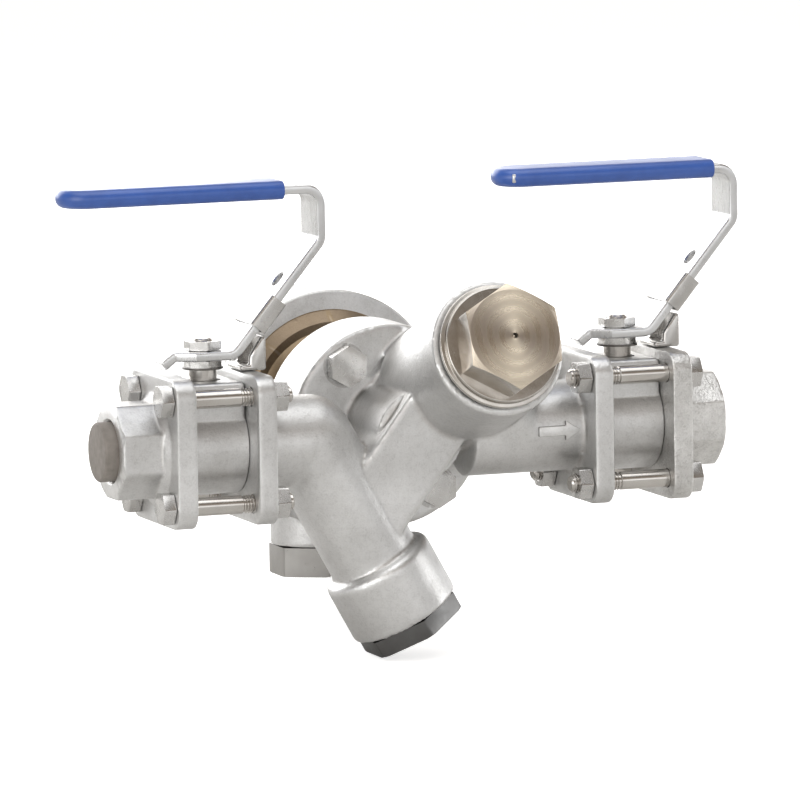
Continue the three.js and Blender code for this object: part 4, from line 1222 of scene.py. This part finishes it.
# %% Flow arrow
ARROW_LOW, ARROW_HIGH = 51.2, 70.7
arrow_outline = [
    (ARROW_LOW, -2.2), (ARROW_HIGH - 7, -2.2), (ARROW_HIGH - 7, -4.4), (ARROW_HIGH, 0),
    (ARROW_HIGH - 7, 4.4), (ARROW_HIGH - 7, 2.2), (ARROW_LOW, 2.2),
]
arrow = bmesh.new()
arrow_face = arrow.faces.new([arrow.verts.new((x * MM, 0, z * MM)) for x, z in arrow_outline])
raised = bmesh.ops.extrude_face_region(arrow, geom=[arrow_face])
raised_verts = [g for g in raised["geom"] if isinstance(g, bmesh.types.BMVert)]
bmesh.ops.translate(arrow, verts=raised_verts, vec=(0, -1.9 * MM, 0))
bmesh.ops.recalc_face_normals(arrow, faces=arrow.faces)
bevel_edges(arrow, 0.35, 2, 40)
for vert in arrow.verts:
    vert.co.y -= math.sqrt((PIPE * MM) ** 2 - vert.co.z ** 2) - 0.6 * MM
whole_casting = join("station_casting", (casting, blasted_cast), (make("arrow", arrow), blasted_cast))
# The arrow's sides take the darker finish as painted shade, so the raised arrow reads outlined.
whole_casting.data.materials.append(arrow_side_painted_shade)
for face in whole_casting.data.polygons:
    if face.material_index == 1 and abs(face.normal.y) < 0.5:
        face.material_index = 2
whole_casting.data.transform(place(centre_x, 0, 0))
finish(whole_casting, None, "station", "connector_body")

# %% [markdown]
# ## Caps, screws and the strainer end
# The strainer leg and the check chamber are each closed by a screwed cap. The strainer's is a dark
# hexagon. The check cap is the bright face of the station: a turned collar, a large hexagon and the
# small centre hole that the lathe left. Two hexagon screws go through the flange into the swivel ring.

# %% Strainer cap
GASKET_TOP = 90.5
cap_low = GASKET_TOP + GAP
strainer_cap = hexagon("strainer_end_cap", 42.0, cap_low, cap_low + 8.0, False, 0.95, 0.5)
cap_spigot = make("cap_spigot", turned(
    [(10, cap_low - 12), (13.2, cap_low - 12), (13.2, cap_low + 1), (0, cap_low + 1), (0, cap_low - 3),
     (10, cap_low - 3)]))
strainer_end = join("strainer_end", (strainer_cap, dark_cap), (cap_spigot, dark_cap))
strainer_end.data.transform(place(centre_x, 0, 0) @ pointing(leg_way, *leg_start))
finish(strainer_end, None, "station", "strainer_cap")

# %% Check cap
CAP_FLATS = 41.0
check_mouth = Vector((centre_x, 0, 0)) + along_check(CHECK_RISE)
collar_low = 1.6
cap_collar_radius = box_mm("check_gasket")[1].x - middle("check_gasket").x + GAP
collar_face = cap_collar_radius - 1.8
collar_high = collar_low + 5.0
hex_high = collar_high + 16.0
# The cap face is painted warm gold as reflection, and the finish paints in wedges of highlight.
check_turned_painted_sheen = turned_finish(
    "check_turned_painted_sheen", check_mouth, (math.radians(-70), 0, 0), (0.80, 0.71, 0.57), (0.44, 0.38, 0.32), 0.24)
cap_hex = hexagon("cap_hex", CAP_FLATS, collar_high - 1, hex_high, False, 0.86, 0.3)
carve(cap_hex, [turned(
    [(0, hex_high + 1), (1.3, hex_high + 1), (1.1, hex_high - 3), (0, hex_high - 3.6)], steps=32)])
cap_collar = make("cap_collar", turned(
    [(0, collar_low), (cap_collar_radius, collar_low), (cap_collar_radius, collar_low + 2.0),
     (collar_face, collar_low + 2.3), (collar_face, collar_high), (0, collar_high)],
    [0, 0.5, 0.5, 0.3, 0.7, 0]))
cap_plug = make("cap_plug", turned(
    [(3.8, collar_low - 9), (21.7, collar_low - 9), (21.7, collar_low + 1), (0, collar_low + 1),
     (0, collar_low + 4), (3.8, collar_low)]))
check_cap = join(
    "check_chamber_cap", (cap_hex, check_turned_painted_sheen), (cap_collar, collar_steel), (cap_plug, collar_steel))
check_cap.data.materials.append(milled_flat)
# The wall of the centre hole is given the dark washer finish as painted shade; the hexagon's sides get the milled
# finish.
check_cap.data.materials.append(dark_washer_and_hole_shade)
for face in check_cap.data.polygons:
    across = math.hypot(face.center.x, face.center.y) / MM
    if face.center.z / MM > collar_high + 0.1 and abs(face.normal.z) < 0.2:
        face.material_index = 3 if across > 5 else 4
check_cap.data.transform(place(*check_mouth, "X", 70))
finish(check_cap, None, "station", "check_cap", 25)

# %% [markdown]
# The check disc is held down by a coil spring that shortens when the disc lifts. A spring can be a
# curve with a bevelled section, a screw modifier on a circle, or a circle that is spun while it
# climbs. The spin is the thread's own recipe, so it is used again. Its two ends are read off the
# frame's spring.

# %% Check spring
SPRING_RADIUS = 7.0
SPRING_WIRE = 1.4
SPRING_TURNS = 4
heights = [(v.co / MM - check_mouth).dot(check_way) for v in frame["nodes"]["check_spring"].data.vertices]
spring_low, spring_high = min(heights), max(heights)
spring_steps = 28
spring_climb = spring_high - spring_low - SPRING_WIRE
coil = bmesh.new()
bmesh.ops.create_circle(
    coil, cap_ends=True, segments=14, radius=SPRING_WIRE / 2 * MM,
    matrix=place(SPRING_RADIUS, 0, spring_low + SPRING_WIRE / 2, "X", 90))
bmesh.ops.spin(
    coil, geom=coil.verts[:] + coil.edges[:] + coil.faces[:], cent=(0, 0, 0), axis=(0, 0, 1),
    dvec=(0, 0, spring_climb / SPRING_TURNS / spring_steps * MM), angle=2 * math.pi * SPRING_TURNS,
    steps=spring_steps * SPRING_TURNS, use_merge=False, use_duplicate=False)
bmesh.ops.recalc_face_normals(coil, faces=coil.faces)
check_coil = make("check_coil", moved(coil, place(*check_mouth, "X", 70)))
finish(check_coil, rolled_sheet, "station", "check_spring")
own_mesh(check_coil)
print("the spring is", round(spring_high - spring_low, 1), "mm long at rest")

# %% Flange screws
SCREW_FLATS = 16.0
SCREW_HEAD = 6.4
SCREW_SHANK = 37.0
screw_hex = hexagon("screw_hex", SCREW_FLATS, 0, SCREW_HEAD, False, 0.95)
screw_rod = make("screw_rod", turned(
    [(0, -SCREW_SHANK), (3.8, -SCREW_SHANK), (4.4, -SCREW_SHANK + 0.8), (4.4, -SCREW_SHANK + 16),
     (5, -SCREW_SHANK + 16.5), (5, 0.3), (0, 0.3)], steps=48),
    thread(5, 1.5, -SCREW_SHANK + 0.5, -SCREW_SHANK + 16.5))
flange_screw = join("flange_screw", (screw_hex, bright_bolt), (screw_rod, tie_rod_steel))
for number, (x, z) in enumerate(bolt_places, 1):
    screw = copy_of(flange_screw, f"flange_screw_{number}",
                    place(centre_x + x, FLANGE_FRONT - GAP, z, "X", 90))
    finish(screw, None, "station", f"connector_bolt_{number}")
discard(flange_screw)

# %% [markdown]
# ## The float trap behind
# A swivel ring clamps the trap's lip to the flange, so the trap can be turned to hang plumb. From the
# lip the body flares out in a dish to a broad rim. The rim is welded to a second one on the drum
# that holds the float. Below the drum a boss takes a hexagon cap. All of it is turned work, except the
# drum, whose boss is grown into it as on a casting.

# %% Swivel ring
RING_BACK = 19.0
LIP_RADIUS = 28.5
NECK_RADIUS = 24.5
LIP_FACE = 1.8
LIP_THICK = 5.4


def behind(piece):
    """Lays a piece that is drawn upright from the joint plane of the flange back along +Y."""
    piece.data.transform(place(centre_x, FLANGE_BACK, 0, "X", -90))
    return piece


swivel_ring = make("swivel_ring", turned(
    [(LIP_RADIUS, GAP), (FLANGE_RADIUS, GAP), (FLANGE_RADIUS, RING_BACK), (NECK_RADIUS + GAP, RING_BACK),
     (NECK_RADIUS + GAP, LIP_FACE + LIP_THICK + GAP), (LIP_RADIUS, LIP_FACE + LIP_THICK + GAP)],
    [0, 0.5, 2.2, 1.5, 0, 0]))
carve(swivel_ring, [tuple(moved(rod(HOLE_RADIUS, -1, RING_BACK + 2), place(x, -z, 0)) for x, z in bolt_places)])
finish(behind(swivel_ring), blasted_cast, "station", "trap_flange_ring")

# %% Dish and rim
trap_low, trap_high = box_mm("trap_body")
RIM_RADIUS = (trap_high.x - trap_low.x) / 2
rim_back = trap_high.y - FLANGE_BACK
RIM_THICK = 4.6
rim_front = rim_back - RIM_THICK
NECK_END = 21.5
DRUM_RADIUS = 48.0
DRUM_WALL = 3.2
drum_room = DRUM_RADIUS - DRUM_WALL
dish_edge = RIM_RADIUS - 8.5
dish = [
    (dish_edge - (dish_edge - NECK_RADIUS) * math.cos(turn), NECK_END + (rim_front - NECK_END) * math.sin(turn))
    for turn in (math.radians(7.5 * k) for k in range(13))
]
dish_profile = [(0, LIP_FACE), (LIP_RADIUS - GAP, LIP_FACE), (LIP_RADIUS - GAP, LIP_FACE + LIP_THICK),
                (NECK_RADIUS, LIP_FACE + LIP_THICK)]
dish_profile += dish
dish_profile += [(RIM_RADIUS, rim_front), (RIM_RADIUS, rim_back), (drum_room, rim_back), (drum_room, rim_front + 1),
                 (drum_room - 6, rim_front - 4), (0, rim_front - 4)]
dish_radii = [0, 0.6, 0.6, 0.8] + [0] * len(dish) + [1.2, 0.3, 0, 0, 0, 0]
trap_dish = make("trap_dish", turned(dish_profile, dish_radii, 144))
INLETS_OUT = 19.5
port_holes = [rod(6, 0, rim_front, 40)]
for turn in (30, 150, 270):
    inlet = Matrix.Rotation(math.radians(turn), 4, "Z") @ place(INLETS_OUT, 0, 0)
    port_holes.append(moved(rod(2.2, 0, rim_front, 24), inlet))
carve(trap_dish, [tuple(port_holes)])
# The dish and the rim are one casting: the dish is painted darker and browner as shade, and the rim keeps the plain
# blasted finish.
finish(behind(trap_dish), dish_painted_shade_cast, "station", "trap_body", 24)
trap_dish.data.materials.append(blasted_cast)
for face in trap_dish.data.polygons:
    across = math.hypot(face.center.x - centre_x * MM, face.center.z)
    if across > (dish_edge + 0.2) * MM:
        face.material_index = 1

# %% Drum
DRUM_END = 168.0
BOSS_AT = 84.0
BOSS_RADIUS = 19.5
BOSS_REACH = 64.5
cover_face = rim_back + GAP
drum_skin = turned(
    [(0, cover_face), (RIM_RADIUS, cover_face), (RIM_RADIUS, cover_face + RIM_THICK),
     (DRUM_RADIUS, cover_face + RIM_THICK), (DRUM_RADIUS, DRUM_END), (0, DRUM_END + 3)],
    [0, 0.3, 1.2, 1.5, 11, 0], 144)
boss_blank = moved(turned(
    [(0, 20), (BOSS_RADIUS, 20), (BOSS_RADIUS, BOSS_REACH), (0, BOSS_REACH)], [0, 0, 0.6, 0]),
    pointing((0, 1, 0), 0, 0, BOSS_AT))
drum = fuse("trap_drum", [drum_skin, boss_blank], 1.0, 5)
drum_space = turned(
    [(0, cover_face - 4), (drum_room, cover_face - 4), (drum_room, DRUM_END - 3.2), (0, DRUM_END - 0.2)],
    [0, 0, 8, 0])
boss_bore = moved(rod(11, 20, BOSS_REACH + 3), pointing((0, 1, 0), 0, 0, BOSS_AT))
carve(drum, [drum_space, boss_bore])
finish(behind(drum), blasted_cast, "station", "trap_cover")
print("drum:", len(drum.data.polygons), "faces")

# %% Bottom cap
bottom_cap = hexagon("bottom_hex", 36.0, 0, 13.2, False, 0.95, 0.5)
bottom_spigot = make("bottom_spigot", rod(10.7, -9, 1, 64))
trap_cap = join("trap_drain_cap", (bottom_cap, grey_turned), (bottom_spigot, grey_turned))
trap_cap.data.transform(place(centre_x, FLANGE_BACK + BOSS_AT, -BOSS_REACH - GAP, "X", 180))
finish(trap_cap, None, "station", "trap_bottom_cap")

# %% [markdown]
# ## Pieces that stay as the frame has them
# The balls, seats, packings, screen, gaskets, check disc and float work out of sight. Their
# shapes are right as they are, so they only need their finishes.

# %% Finishes for the inner pieces
INNER_FINISHES = {
    tie_rod_steel: ["inlet_ball", "outlet_ball", "check_disc", "trap_valve_seat"],
    seal_white: ["inlet_seat_a", "inlet_seat_b", "outlet_seat_a", "outlet_seat_b"],
    graphite: ["inlet_stem_packing", "outlet_stem_packing", "strainer_gasket", "check_gasket", "trap_gasket"],
    rolled_sheet: ["strainer_screen", "trap_float"],
}
for material, nodes in INNER_FINISHES.items():
    for node in nodes:
        for material_slot in frame["nodes"][node].material_slots:
            material_slot.material = material
print("kept from the frame:", sum(len(nodes) for nodes in INNER_FINISHES.values()))
